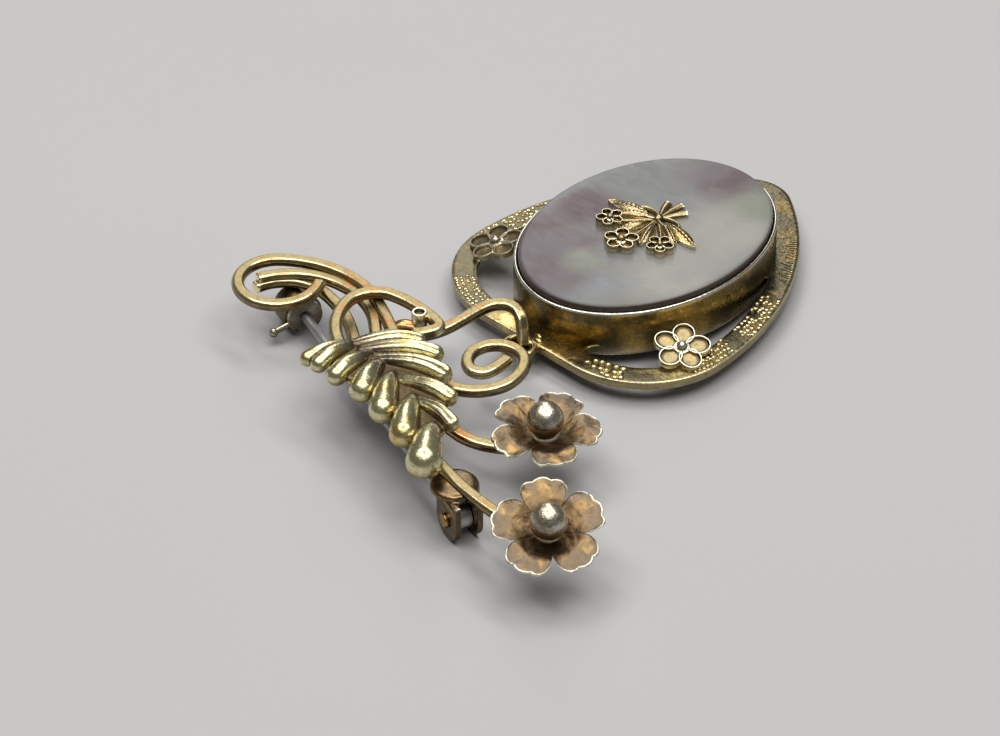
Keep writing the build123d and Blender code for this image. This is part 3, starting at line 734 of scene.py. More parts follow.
def pearly_shell(finish):
    """Mother-of-pearl: clouds of pink, grey, silver and green in their places on a grey, the silver partly painted
    sheen, and brown painted shade on its sloping edge.
    """
    make = Finish("mother_of_pearl")
    bands = make.speckle(1.1, 2.0, 2.0, 0.5, (0.35, 1.0, 1.0))
    veil = make.speckle(5.5, 3.0, 1.2, 0.5, (1.0, 0.6, 1.0))
    colour = make.blend(make.span(veil, 0.40, 0.62), finish.shell, finish.shell_blue)
    for place, reach, tone in SHELL_CLOUDS:
        near = make.near((*place, SHELL_TOP), reach)
        share = make.put_together("MULTIPLY", near, make.span(veil, 0.62, 0.38, 0.65, 1.0))
        colour = make.blend(share, colour, getattr(finish, tone))
    # Painted shade: the sloping edge, turned away from the lamps, is blended to brown.
    colour = make.blend(make.span(make.upward("Normal"), 0.93, 0.35), colour, finish.shell_edge_shade)
    make.shown({
        "Base Color": colour,
        "Roughness": make.span(bands, 0.3, 0.7, 0.26, 0.36),
        "Specular IOR Level": 0.3,
        "Normal": make.raised(bands, 0.004),
    })
    return make.material


# ---------------------------------------------------------------- what a user may change

def measure(name, description, default, low, high):
    """A size in metres that a user may change."""
    return FloatProperty(name=name, description=description, default=default, min=low, max=high, unit="LENGTH")


class BroochShapes(PropertyGroup):
    """Sizes that the pieces are made with."""

    wire_flat: FloatProperty(
        name="Flat on wires",
        description="Height of the worn flat on top of a wire, as a share of its radius",
        default=0.8,
        min=0.6,
        max=1.0,
        subtype="FACTOR",
    )
    leaf_grain: measure("Leaf grain", "Size of the cells that the leaf's mesh is made of", 0.000085, 0.00005, 0.0003)
    petal_dish: measure("Petal dish", "Depth of the dish in each petal of the blossoms", 0.0004, 0.0, 0.001)
    shell_dome: measure("Shell dome", "Rise of the shell's middle over its edge", 0.00005, 0.0, 0.0003)
    pebble_rows: IntProperty(
        name="Pebble rows",
        description="Most rows of raised pebbles across the band",
        default=5,
        min=1,
        max=8,
    )


def tint(name, description, colour):
    """A colour that a user may change."""
    return FloatVectorProperty(
        name=name, description=description, subtype="COLOR", size=3, min=0.0, max=1.0, default=colour
    )


class BroochFinishes(PropertyGroup):
    """Colours of the metals and the shell."""

    brass: tint("Brass", "Main colour of the wires", (0.42, 0.33, 0.155))
    # The bright brass colour is partly a painted highlight on worn edges; the dark one is tarnished creases and painted
    # shade on undersides and sides.
    brass_wear_and_highlight: tint("Polished brass", "Worn edges of the wires", (0.95, 0.84, 0.5))
    brass_tarnish_and_shade: tint("Tarnish", "Creases and undersides of the wires", (0.075, 0.042, 0.02))
    leaf: tint("Leaf brass", "Main colour of the leaf", (0.72, 0.66, 0.34))
    copper: tint("Copper", "Patches on the wires where copper shows", (0.5, 0.23, 0.075))
    petal: tint("Petals", "Greyish brown of the petals", (0.165, 0.128, 0.088))
    case: tint("Case", "Olive gilt of the locket's case", (0.185, 0.145, 0.065))
    silver: tint("Silver", "Rim of the case and patches on the beads", (0.80, 0.78, 0.70))
    shell: tint("Shell", "Grey of the shell", (0.195, 0.188, 0.162))
    shell_blue: tint("Shell blue", "Bluish grey of the shell", (0.205, 0.21, 0.215))
    # Partly the shell's own lustre, partly painted sheen.
    shell_pale_sheen: tint("Shell silver", "Pale silver clouds of the shell", (0.315, 0.298, 0.262))
    shell_pink: tint("Shell pink", "Mauve clouds of the shell", (0.095, 0.056, 0.061))
    shell_grey: tint("Shell dark", "Dark grey clouds of the shell", (0.155, 0.155, 0.145))
    shell_green: tint("Shell green", "Greenish clouds of the shell", (0.21, 0.22, 0.17))
    # Brown painted shade on the shell's sloping edge.
    shell_edge_shade: tint("Shell edge", "Brown edge of the shell", (0.055, 0.035, 0.025))
    floor: tint("Floor", "Plain pale floor", (0.52, 0.51, 0.50))


def shapes():
    """Sizes that the user has set."""
    return bpy.context.scene.brooch_shapes


def finishes():
    """Colours that the user has set."""
    return bpy.context.scene.brooch_finishes


def metals():
    """Each metal's colours for its worn edges and painted highlight, its body, its patches, and its tarnished places
    and painted shade, and what else is its own.
    """
    own = finishes()
    gold = (0.78, 0.54, 0.16)
    blossom_middles = [(*from_ring(point), height + 0.6) for point, height, _, _ in BLOSSOM_PLACES.values()]
    return {
        # Sides darkened as painted shade; edges rubbed bright, partly as painted highlight.
        "wire_brass": (
            own.brass_wear_and_highlight, own.brass, own.copper, own.brass_tarnish_and_shade,
            {"patch_low": 0.52, "patch_high": 0.75, "rough": 0.20, "dull": 0.42, "sides": 0.85, "flat": 0.9,
             "edge": (-0.06, -0.13)},
        ),
        "leaf_brass": (
            (0.90, 0.86, 0.58), own.leaf, (0.70, 0.50, 0.14), (0.12, 0.085, 0.045),
            {"rough": 0.26, "dull": 0.5, "crease": (0.0, 0.04), "edge": (-0.05, -0.12), "under": 0.6, "low": (6.6, 6.1),
             "patch_low": 0.48, "grain": 0.03, "coat": 0.8, "spots": leaf_shade()},
        ),
        "petal_brass": (
            (0.98, 0.93, 0.74), own.petal, (0.52, 0.33, 0.11), (0.115, 0.09, 0.07),
            {"patch_size": 1.5, "patch_high": 0.66, "haze": (0.15, 0.125, 0.105), "rough": 0.36, "dull": 0.55,
             "grain": 0.03, "grain_size": 0.2, "edge": (-0.04, -0.2),
             "spots": [(middle, 4.9, (0.25, 0.155, 0.068)) for middle in blossom_middles]},
        ),
        # Painted shade: the bead's lower half and sides are darkened.
        "bead_metal": (
            (0.62, 0.57, 0.44), (0.58, 0.51, 0.35), own.silver, (0.06, 0.036, 0.016),
            {"rough": 0.26, "dull": 0.42, "coat": 0.5, "under": 1.0, "sides": 0.95, "grain": 0.035, "grain_size": 0.2,
             "edge": (-0.9, -1.0)},
        ),
        "case_gilt": (
            (0.80, 0.77, 0.66), own.case, (0.60, 0.38, 0.085), (0.045, 0.036, 0.02),
            {"patch_size": 3.4, "stretch": (1, 1, 2.2), "patch_low": 0.46, "patch_high": 0.62, "rough": 0.27,
             "dull": 0.45,
             "spots": [((-9.3, 4.5, 2.9), 4.2, gold), ((-8.0, 9.6, 3.0), 2.6, gold), ((1.4, 12.7, 2.8), 2.4, gold)]},
        ),
        "band_gilt": (
            (0.86, 0.74, 0.42), (0.125, 0.108, 0.062), (0.23, 0.165, 0.065), (0.07, 0.055, 0.033),
            {"patch_size": 1.7, "rough": 0.27, "dull": 0.46, "sides": 0.7, "grain": 0.03, "grain_size": 0.35,
             "edge": (-0.05, -0.22),
             "spots": [((-2.6, 13.6, 2.2), 3.0, (0.62, 0.43, 0.14)), ((3.1, 14.05, 2.2), 1.9, (0.85, 0.62, 0.22)),
                       ((-11.0, 8.6, 2.2), 3.0, (0.40, 0.30, 0.11))]},
        ),
        "solder_gold": (
            (0.98, 0.88, 0.60), (0.74, 0.54, 0.20), (0.90, 0.70, 0.30), own.brass_tarnish_and_shade,
            {"patch_size": 0.8, "rough": 0.18, "grain": 0.05},
        ),
        "badge_metal": (
            (0.86, 0.80, 0.60), (0.27, 0.22, 0.115), (0.42, 0.28, 0.09), (0.11, 0.08, 0.045),
            {"patch_size": 1.1, "rough": 0.30, "crease": (0.03, 0.15), "edge": (-0.06, -0.16), "sides": 0.6},
        ),
        "ornament_gilt": (
            (0.86, 0.78, 0.56), (0.38, 0.29, 0.14), (0.50, 0.33, 0.11), (0.09, 0.06, 0.03),
            {"crease": (0.02, 0.12), "edge": (-0.08, -0.22), "sides": 0.6},
        ),
        "copper_metal": (
            (0.95, 0.74, 0.42), (0.50, 0.28, 0.11), (0.62, 0.43, 0.17), (0.09, 0.05, 0.035),
            {"patch_size": 1.0, "rough": 0.26, "edge": (-0.1, -0.3)},
        ),
        # Body darkened far below steel's own colour as painted shade, since the pin lies in shadow under the leaf and
        # locket.
        "pin_steel": (
            (0.50, 0.48, 0.44), (0.075, 0.068, 0.056), (0.10, 0.075, 0.055), (0.04, 0.034, 0.028),
            {"rough": 0.46, "under": 0.5, "edge": (-0.9, -1.0)},
        ),
        "rim_silver": (
            own.silver, (0.74, 0.72, 0.64), (0.60, 0.55, 0.42), (0.30, 0.26, 0.18),
            {"patch_size": 5.0, "rough": 0.20, "dull": 0.36, "crease": (0.9, 1.0), "edge": (-0.9, -1.0), "under": 0.3},
        ),
        "dark_metal": (
            (0.72, 0.62, 0.42), (0.17, 0.12, 0.065), (0.36, 0.22, 0.09), (0.04, 0.03, 0.02),
            {"patch_size": 1.4, "rough": 0.26, "dull": 0.5, "edge": (-0.12, -0.4)},
        ),
    }


def finish_named(name):
    """A finish by its name, made the first time that it is asked for."""
    if name in bpy.data.materials:
        return bpy.data.materials[name]
    if name == "mother_of_pearl":
        return pearly_shell(finishes())
    *colours, settings = metals()[name]
    return old_metal(name, *colours, **settings)


# ---------------------------------------------------------------- frame of the pin

PIN_WAY = Vector((CATCH[0] - RIVET[0], CATCH[1] - RIVET[1], 0)).normalized()
PIN_HEADING = degrees(atan2(PIN_WAY.y, PIN_WAY.x))
RIVET_WAY = Vector((-PIN_WAY.y, PIN_WAY.x, 0))
RIVET_POINT = Vector((*from_ring(RIVET), PIN_Z))
CATCH_POINT = Vector((*from_ring(CATCH), PIN_Z))


def axes(origin, first, third):
    """Matrix that carries X and Z to two ways at an origin."""
    third = Vector(third).normalized()
    first = Vector(first).normalized()
    second = third.cross(first)
    return Matrix.Translation(Vector(origin)) @ Matrix((first, second, third)).transposed().to_4x4()


# ---------------------------------------------------------------- wires

def wire(height, start, heading, lead, bends):
    """A bent wire with a flat worn on top, cut ends and the slight unevenness of hand work."""
    flat, _ = bent(from_ring(start), heading, lead, bends)
    path = [Vector((x, y, height)) for x, y in flat]
    scales = [1 + WIRE_UNEVENNESS * noise.noise(place * 0.8) for place in path]
    return swept(path, wire_section(), scales, ends=0.1)


def eased(path, passes):
    """A path with its points evened out and its corners rounded, from the same start to the same end."""
    gone = [0.0]
    for before, here in zip(path, path[1:]):
        gone.append(gone[-1] + (here - before).length)
    even = []
    for k in range(EASED_STEPS + 1):
        now = gone[-1] * k / EASED_STEPS
        n = max(1, next((n for n, reach in enumerate(gone) if reach >= now), len(gone) - 1))
        even.append(path[n - 1].lerp(path[n], (now - gone[n - 1]) / (gone[n] - gone[n - 1])))
    for _ in range(passes):
        inner = [(before + after) / 2 for before, after in zip(even, even[2:])]
        even = [even[0], *inner, even[-1]]
    return even


def wire_section():
    """Section of the wires: a little wider than high, with a flat worn on top."""
    return [(u * 1.05, v) for u, v in round_section(WIRE_RADIUS, shapes().wire_flat)]


def hook():
    """The wire that the locket's ring hangs on, bent over and down in one easy curve."""
    height, start, heading, lead, bends = HOOK_LINE
    flat, heading = bent(from_ring(start), heading, lead, bends)
    path = [Vector((x, y, height)) for x, y in flat]
    ahead = Vector((*at(1, heading), 0))
    corner = path[-1]
    steps = 10
    for k in range(1, steps + 1):
        turn = pi / 2 * k / steps
        path.append(corner + ahead * HOOK_BEND_RADIUS * sin(turn) - UP * HOOK_BEND_RADIUS * (1 - cos(turn)))
    foot = path[-1]
    fall = foot.z - HOOK_TIP_Z
    path += [foot - UP * fall * k / steps for k in range(1, steps + 1)]
    return swept(eased(path, 60), wire_section(), ends=0.1)


def lump():
    """Wedge of copper at the foot of the peg, thin at its free end."""
    path = [Vector((*from_ring(point), height)) for point, height in LUMP]
    section = [(u, v * 0.8) for u, v in round_section(1.0)]
    shares = [0.03 + 0.9 * (k / EASED_STEPS) ** 0.8 for k in range(EASED_STEPS + 1)]
    return swept(eased(path, 40), section, [LUMP_RADIUS * sqrt(sin(pi * share)) for share in shares])


def peg():
    """Tube end beside the hook, with a rim and a sunk middle."""
    profile = [
        (0.05, PEG_BOTTOM),
        (PEG_RADIUS, PEG_BOTTOM),
        (PEG_RADIUS, PEG_TOP - 0.1),
        (PEG_RADIUS - 0.04, PEG_TOP - 0.02),
        (PEG_RADIUS - 0.1, PEG_TOP),
        (PEG_RADIUS - 0.2, PEG_TOP - 0.02),
        (PEG_RADIUS - 0.26, PEG_TOP - 0.12),
        (PEG_RADIUS - 0.3, PEG_TOP - 0.26),
        (0.05, PEG_TOP - 0.28),
    ]
    return moved(turned(profile, 40), Matrix.Translation((*from_ring(PEG), 0)))


class BROOCH_OT_wires(Operator):
    """Bends the wires, the hook, the peg and the copper lump of the brooch"""

    bl_idname = "brooch.wires"
    bl_label = "Wires"

    def execute(self, context):
        for name, bends in WIRES.items():
            piece(name, wire(*bends), "wire_brass", BROOCH_METAL, sharp=40)
        piece("hook", hook(), "wire_brass", BROOCH_METAL, sharp=40)
        piece("peg", peg(), "badge_metal", BROOCH_METAL, sharp=40)
        piece("copper_lump", lump(), "copper_metal", BROOCH_METAL, sharp=40)
        return {"FINISHED"}


# ---------------------------------------------------------------- leaf

def drop(root, tip, tip_radius, bow, ridge):
    """A long drop from its low root to its full tip, bowed sideways; a ridged one has a groove between two edges."""
    run = tip - root
    length = run.length
    way = run.normalized()
    side = way.cross(UP).normalized()
    steps = 30
    path, scales = [], []
    for k in range(steps + 1):
        turn = pi * (k + 0.25) / (steps + 0.5)
        gone = -LOBE_ROOT_RADIUS + (length + LOBE_ROOT_RADIUS + tip_radius) * (0.5 - 0.5 * cos(turn))
        share = min(max(gone / length, 0.0), 1.0)
        full = LOBE_ROOT_RADIUS + (tip_radius - LOBE_ROOT_RADIUS) * share ** (0.8 if ridge else 0.55)
        past = max(-gone / LOBE_ROOT_RADIUS, (gone - length) / tip_radius, 0.0)
        arch = 0.22 * sin(pi * share ** 1.4) - 0.30 * (1 - share) ** 2
        path.append(root + way * gone + side * bow * 4 * share * (1 - share) + UP * arch)
        scales.append(full * sqrt(max(0.01, 1 - past * past)))
    section = []
    for k in range(36):
        a = 360 * (k + 0.5) / 36
        near_edge = cos(radians(3 * (a - 52))) if 22 < a < 82 else 0.0
        far_edge = 1.5 * cos(radians(3 * (a - 122))) if 92 < a < 152 else 0.0
        u, v = at(1, a)
        lift = max(near_edge, far_edge, 0.0) - 0.25 * (v > 0.8)
        section.append((u * (1 + 0.12 * (ridge > 0)), v + ridge * lift))
    return swept(path, section, scales)


def leaf_lobes():
    """Each lobe's root and tip, with its radius, bow and ridge."""
    start, heading, radius, turn = MIDRIB
    side = copysign(90, turn)
    centre = at(radius, heading + side, from_ring(start))
    for along, angle, reach, share, bow, ridge in LOBES:
        foot = at(radius, heading - side + turn * along, centre)
        tip = at(LEAF_REACH * reach, heading + turn * along + angle, foot)
        yield Vector((*foot, LEAF_RIDGE_Z)), Vector((*tip, LOBE_TIP_Z)), LOBE_RADIUS * share, bow, ridge


def leaf_shade():
    """Brown places along the foot of the near drops."""
    roots = [root for root, _, _, _, ridge in leaf_lobes() if not ridge]
    return [((root.x, root.y, LEAF_RIDGE_Z + 0.3), 2.1, (0.20, 0.155, 0.10)) for root in roots[1:]]


def round_pegs(points, radius):
    """Outline of a band stretched round pegs at some points."""
    return evened(hull([at(radius, 15 * k, p) for p in points for k in range(24)]), 0.3)


def leaf_pegs(lobes, near_share, far_share, radius):
    """Outline of a band round pegs that stand along the lobes, at a share of the near ones and of the far ones."""
    places = [root.lerp(tip, far_share if ridge else near_share) for root, tip, _, _, ridge in lobes]
    return round_pegs([tuple(place.xy) for place in places], radius)


def leaf_mesh():
    """The leaf: drops grown together over a plate, hollowed from below."""
    lobes = list(leaf_lobes())
    solid = mesh_of("leaf", merged(*(drop(*lobe) for lobe in lobes)))
    top = LEAF_RIM_Z + LEAF_PLATE * 0.9
    base = mesh_of("leaf_plate", plate([leaf_pegs(lobes, 0.62, 0.86, LOBE_RADIUS / 4)], LEAF_RIM_Z, top, 0.3))
    knit = bmesh.new()
    knit.from_mesh(solid)
    every = knit.verts[:] + knit.edges[:] + knit.faces[:]
    bmesh.ops.bisect_plane(knit, geom=every, plane_co=(0, 0, LEAF_RIM_Z), plane_no=(0, 0, -1), clear_outer=True)
    bmesh.ops.holes_fill(knit, edges=[edge for edge in knit.edges if edge.is_boundary], sides=0)
    bmesh.ops.recalc_face_normals(knit, faces=knit.faces)
    knit.from_mesh(base)
    knit.to_mesh(solid)
    knit.free()
    solid = applied(
        solid,
        ("REMESH", {"mode": "VOXEL", "voxel_size": shapes().leaf_grain / MM, "adaptivity": 0.0}),
        ("SMOOTH", {"factor": 0.5, "iterations": 3}),
    )
    deep = LEAF_POCKET_SHARE * 0.8
    outline = leaf_pegs(lobes, deep, deep, LOBE_RADIUS / 5)
    pocket = mesh_of("leaf_pocket", plate([outline], LEAF_RIM_Z - 1, LEAF_RIM_Z + LEAF_POCKET * 0.6, 0.2))
    cutter = linked("leaf_pocket", pocket)
    solid = applied(solid, ("BOOLEAN", {"object": cutter, "operation": "DIFFERENCE", "solver": "FAST"}))
    bpy.data.objects.remove(cutter)
    solid.transform(Matrix.Scale(MM, 4))
    return solid


class BROOCH_OT_leaf(Operator):
    """Models the cast leaf with its fat near drops and long far ones"""

    bl_idname = "brooch.leaf"
    bl_label = "Leaf"

    def execute(self, context):
        dressed("leaf", leaf_mesh(), "leaf_brass", *BROOCH_METAL, sharp=60, passes=3)
        return {"FINISHED"}


# ---------------------------------------------------------------- blossoms

def petal_edge(angle):
    """Share of the radius that the petals reach at an angle."""
    local = (angle + 36) % 72 - 36
    (a0, r0), (a1, r1), (a2, r2) = next(scallop for scallop in PETAL_SCALLOPS if local <= scallop[-1][0])
    start = (local - a1) * (local - a2) / ((a0 - a1) * (a0 - a2))
    crown = (local - a0) * (local - a2) / ((a1 - a0) * (a1 - a2))
    end = (local - a0) * (local - a1) / ((a2 - a0) * (a2 - a1))
    return r0 * start + r1 * crown + r2 * end


def petal_height(distance, angle, seed):
    """Height of the blossom's sheet: a shallow cup, a dish in each petal and a wavy rim."""
    petal = (angle + 36) // 72 % 5
    local = ((angle + 36) % 72 - 36) / 36
    share = distance / BLOSSOM_RADIUS
    rise = (distance - BLOSSOM_FLAT) / (BLOSSOM_CUP_SHARE * BLOSSOM_RADIUS - BLOSSOM_FLAT)
    rise = min(max(rise, 0.0), 1.0)
    height = BLOSSOM_CUP * rise * rise * (3 - 2 * rise)
    dish = shapes().petal_dish / MM
    height += dish * (local * local - 0.45) * share * share
    height += 0.10 * cos(radians(local * 36 * 9)) * max(0.0, share - 0.6) / 0.4
    height += 0.22 * noise.noise(Vector((petal * 1.7 + seed, local * 0.9, share * 1.5))) * share
    x, y = at(distance, angle)
    height += 0.04 * noise.noise(Vector((x, y, seed)) * 1.6) + 0.012 * noise.noise(Vector((x, y, seed)) * 4)
    return height


def blossom_sheet(seed):
    """Thin sheet of five scalloped petals."""
    steps, rows = 300, 30
    angles = [360 * k / steps for k in range(steps)]
    top, bottom = [], []
    for row in range(rows + 1):
        share = 0.02 + 0.98 * row / rows
        thick = BLOSSOM_SHEET - 0.17 * share + 0.04 * max(0.0, (share - 0.93) / 0.07)
        loop = []
        for angle in angles:
            reach = BLOSSOM_RADIUS * petal_edge(angle) * share
            loop.append((*at(reach, angle), petal_height(reach, angle, seed)))
        bottom.append(loop)
        top.append([(x, y, z + thick) for x, y, z in loop])
    rim = []
    for angle, under, over in zip(angles, bottom[-1], top[-1]):
        rim.append((*at(BLOSSOM_RADIUS * petal_edge(angle) + BLOSSOM_RIM, angle), (under[2] + over[2]) / 2))
    return skin(bottom + [rim] + top[::-1])


def blossom(seed):
    """Sheet, bead and post of one blossom about its own axis."""
    bead_height = BLOSSOM_SHEET + BEAD_RADIUS - BEAD_SINK
    bead = moved(ball(BEAD_RADIUS, 28, 56), Matrix.Translation((0, 0, bead_height)))
    post = turned([
        (0.05, -POST_LENGTH),
        (POST_RADIUS * 0.85, -POST_LENGTH),
        (POST_RADIUS, -POST_LENGTH + 0.15),
        (POST_RADIUS, 0.1),
        (0.05, 0.1),
    ])
    collar = turned([(0.05, 0.3), (1.15, 0.3), (1.12, 0.42), (0.98, 0.52), (0.05, 0.55)])
    return merged(blossom_sheet(seed), post, collar), bead


class BROOCH_OT_blossoms(Operator):
    """Stamps the two blossoms of five scalloped petals, each with a bead"""

    bl_idname = "brooch.blossoms"
    bl_label = "Blossoms"

    def execute(self, context):
        for seed, (name, (point, height, lean, turn)) in enumerate(BLOSSOM_PLACES.items()):
            way = Vector((*at(sin(radians(lean)), LEAN_HEADING), cos(radians(lean))))
            place = axes((*from_ring(point), height), (*at(1, LEAN_HEADING + 90), 0), way)
            place = place @ Matrix.Rotation(radians(turn), 4, "Z")
            sheet, bead = blossom(seed * 3.1)
            piece(name + "_blossom", moved(sheet, place), "petal_brass", BROOCH_METAL, sharp=50)
            piece(name + "_bead", moved(bead, place), "bead_metal", BROOCH_METAL)
        return {"FINISHED"}


# ---------------------------------------------------------------- fittings of the pin

def ear():
    """Outline of an ear of the pin's joint: round below, square above."""
    rise = JOINT_DISC[2] - PIN_Z
    return evened(arc_points(PIN_Z, 180, 360, 40) + [(PIN_Z, rise), (-PIN_Z, rise)], 0.2)


def flare(side, disc_radius, disc_shift):
    """Top of an ear of the pin's joint, widening into the disc that it hangs from."""
    outside = EAR_INSIDE + EAR_THICKNESS
    low, high = 0.75, JOINT_DISC[2] - PIN_Z + 0.1
    loops = []
    for row in range(11):
        share = row / 10
        wide = share * share
        y = low + (high - low) * share
        outer, inner = [], []
        for k in range(25):
            across = 0.98 * PIN_Z * (k / 12 - 1)
            x = across + disc_shift * wide
            rim = sqrt(max(outside * outside * 0.3, disc_radius * disc_radius - across * across))
            outer.append((x, y, side * (outside + (rim - outside) * wide)))
            inner.append((x, y, side * (EAR_INSIDE + 0.05)))
        loops.append(outer + inner[::-1])
    return skin(loops)


def pin_joint():
    """The two ears and the disc that they hang from, with its top edge domed."""
    radius, thickness, height, shift = JOINT_DISC
    radius -= DISC_TRIM
    hole = arc_points(RIVET_BORE, 0, 345, 23)
    lows = (-EAR_INSIDE - EAR_THICKNESS, EAR_INSIDE)
    parts = [plate([ear(), hole], low, low + EAR_THICKNESS, 0.06, 0.14) for low in lows]
    parts += [flare(side, radius, shift) for side in (1, -1)]
    disc = turned([
        (0.05, 0),
        (radius - 0.15, 0),
        (radius - 0.04, 0.05),
        (radius, 0.16),
        (radius - 0.02, thickness - 0.32),
        (radius - 0.10, thickness - 0.20),
        (radius - 0.26, thickness - 0.10),
        (radius - 0.55, thickness - 0.03),
        (0.05, thickness),
    ], 64)
    joint_place = axes(RIVET_POINT, PIN_WAY, -RIVET_WAY)
    disc_place = Matrix.Translation((*at(shift, PIN_HEADING, RIVET_POINT.xy), height))
    return merged(*(moved(part, joint_place) for part in parts), moved(disc, disc_place))


def catch_housing():
    """Slotted tube of the catch on its foot."""
    width, shift, top = CATCH_FOOT
    half = CATCH_LENGTH / 2
    tube = plate([slotted_ring(PIN_Z, CATCH_BORE_RADIUS)], -half, half, 0.1, 0.2)
    outline = rectangle(-half, half, -shift - width / 2, -shift + width / 2, 0.2)
    foot = plate([outline], CATCH_BORE_RADIUS + 0.1, top - PIN_Z, 0.08)
    return merged(moved(tube, axes(CATCH_POINT, RIVET_WAY, PIN_WAY)), moved(foot, axes(CATCH_POINT, PIN_WAY, UP)))


def slotted_ring(outer, bore):
    """Outline of a ring that is open at the bottom."""
    low = degrees(asin(CATCH_SLOT / 2 / outer))
    high = degrees(asin(CATCH_SLOT / 2 / bore))
    outside = arc_points(outer, -90 + low, 270 - low, 60)
    inside = arc_points(bore, 270 - high, -90 + high, 48)
    return evened(outside + inside, 0.15)


# Solids that keep their own mesh and only get a finish
FINISHED_SOLIDS = {
    "joint_rivet": "copper_metal",
    "pin_stem": "pin_steel",
    "catch_lever": "bead_metal",
    "cover_hinge_pin": "case_gilt",
}


class BROOCH_OT_fittings(Operator):
    """Makes the pin's joint and the catch, and finishes the rivet, the pin and the lever"""

    bl_idname = "brooch.fittings"
    bl_label = "Pin fittings"

    def execute(self, context):
        piece("pin_joint", pin_joint(), "dark_metal", BROOCH_METAL)
        piece("catch_housing", catch_housing(), "dark_metal", BROOCH_METAL)
        for node, finish in FINISHED_SOLIDS.items():
            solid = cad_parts[node]
            hollows(solid.data, 0)
            solid.data.materials.clear()
            solid.data.materials.append(finish_named(finish))
        return {"FINISHED"}


# ---------------------------------------------------------------- locket

def oval_loops(profile):
    """Loops of the case's oval at insets and heights."""
    return [[(x, y, z) for x, y in oval(inset)] for inset, z in profile]


# Profile of a badge's petal: inset and height, over the rim and down to the floor
BADGE_PETAL = [
    (0.0, 0.0),
    (0.0, 0.36),
    (0.02, 0.44),
    (0.07, 0.5),
    (0.13, 0.5),
    (0.18, 0.44),
    (0.20, 0.34),
    (0.24, 0.27),
    (0.5, 0.24),
    (0.80, 0.25),
]


def badge_petal(length, width, steps=44):
    """One petal of a badge: a nearly flat floor inside a thin round rim."""
    return skin([
        [((length - inset) * cos(t), (width - inset) * sin(t), height) for t in circle(steps)]
        for inset, height in BADGE_PETAL
    ])


def five_round(petal, angle, distance):
    """Five of a petal round Z, at a distance from it, the first at an angle."""
    out = Matrix.Translation((distance, 0, 0))
    return [moved(petal, Matrix.Rotation(radians(angle + 72 * k), 4, "Z") @ out) for k in range(5)]


def badge(side):
    """A flat flower of five petals on the band, with a bead at its middle."""
    petals = five_round(badge_petal(1.08, 0.98), 90, BADGE_RADIUS - 1.02)
    eye = moved(ball(BADGE_EYE_RADIUS, 16, 28), Matrix.Translation((0, 0, BADGE_THICKNESS)))
    seat = turned([(0.05, 0), (0.75, 0), (0.75, 0.3), (0.66, 0.42), (0.5, 0.46), (0.05, 0.4)], 36)
    lean_up = Matrix.Rotation(radians(-BADGE_LEAN_UP), 4, "X")
    lean_out = Matrix.Rotation(radians(side * BADGE_LEAN_OUT), 4, "Y")
    x, y, z = BADGE_PLACE
    place = Matrix.Translation((side * x, y, z)) @ lean_up @ lean_out @ Matrix.Translation((0, 0, -BADGE_THICKNESS))
    return moved(merged(*petals, seat), place), moved(eye, place)


def pebble(radius, height):
    """A small raised dome."""
    return turned([
        (radius, -0.05),
        (radius * 0.95, height * 0.4),
        (radius * 0.7, height * 0.8),
        (radius * 0.3, height),
        (0.02, height),
    ], 14)


# Stretches of relief on the band: side, angle from +X at which it starts and ends, size, rows, height
RELIEF = [
    (-1, 54, 66, 0.26, 3, 0.20),
    (-1, 16, 34, 0.19, 4, 0.15),
    (-1, -20, 8, 0.20, 4, 0.13),
    (1, -14, 30, 0.19, 4, 0.12),
    (1, 50, 66, 0.17, 4, 0.10),
]
# Stretches with short cuts across the band: side, angle at which it starts and ends, space between cuts
HATCHED = [(-1, -62, -31, 0.30), (1, -60, -24, 0.34)]


def band_points(side, first, last, inset, space):
    """Points of the band at an inset from its edge, about a space apart, between two angles about the locket."""
    chosen, before = [], None
    for x, y in heart(inset, 0.04):
        if first < degrees(atan2(y, x)) < last and (before is None or hypot(x - before[0], y - before[1]) >= space):
            chosen.append((side * x, y))
            before = (x, y)
    return chosen


def pebbles(side, first, last, size, rows, height):
    """Raised pebbles in uneven rows along a stretch of the band."""
    marks = []
    rows = min(rows, shapes().pebble_rows)
    for row in range(rows):
        inset = 0.18 + size + (BAND_WIDTH - 0.36 - 2 * size) * row / max(1, rows - 1)
        shift = 0.6 * size * (row % 2)
        for x, y in band_points(side, first, last, inset + 0.02 * row, 2.25 * size + 0.01 * row):
            turn = noise.noise(Vector((x, y, row)) * 2.5)
            aside = noise.noise(Vector((x, y, row + 9)) * 2.5)
            if turn < -0.42:
                continue
            place = Matrix.Translation((x + 0.9 * size * turn, y + shift + 0.9 * size * aside, BAND_TOP))
            place = place @ Matrix.Rotation(3 * aside, 4, "Z") @ Matrix.Diagonal((1, 1 + 0.5 * abs(turn), 1, 1))
            marks.append(moved(pebble(size * (1 + 0.4 * aside), height * (1 + 0.7 * turn)), place))
    return marks


def cuts(side, first, last, space):
    """Short raised lines, uneven in slant and length, across a stretch of the band."""
    marks = []
    for x, y in band_points(side, first, last, 0.28, space):
        start = Vector((x, y))
        inward = -start.normalized()
        slant = Vector((-inward.y, inward.x)) * (0.35 + 0.8 * noise.noise(Vector((x, y, 2)) * 2)) * side
        end = start + (inward + slant) * (0.95 + 0.9 * noise.noise(Vector((x, y, 5)) * 4))
        line = [tuple(start.lerp(end, k / 6)) for k in range(7)]
        marks.append(half_round(line, [0.02, 0.06, 0.075, 0.08, 0.075, 0.06, 0.02], BAND_TOP - 0.1, [0.05] * 7))
    return marks


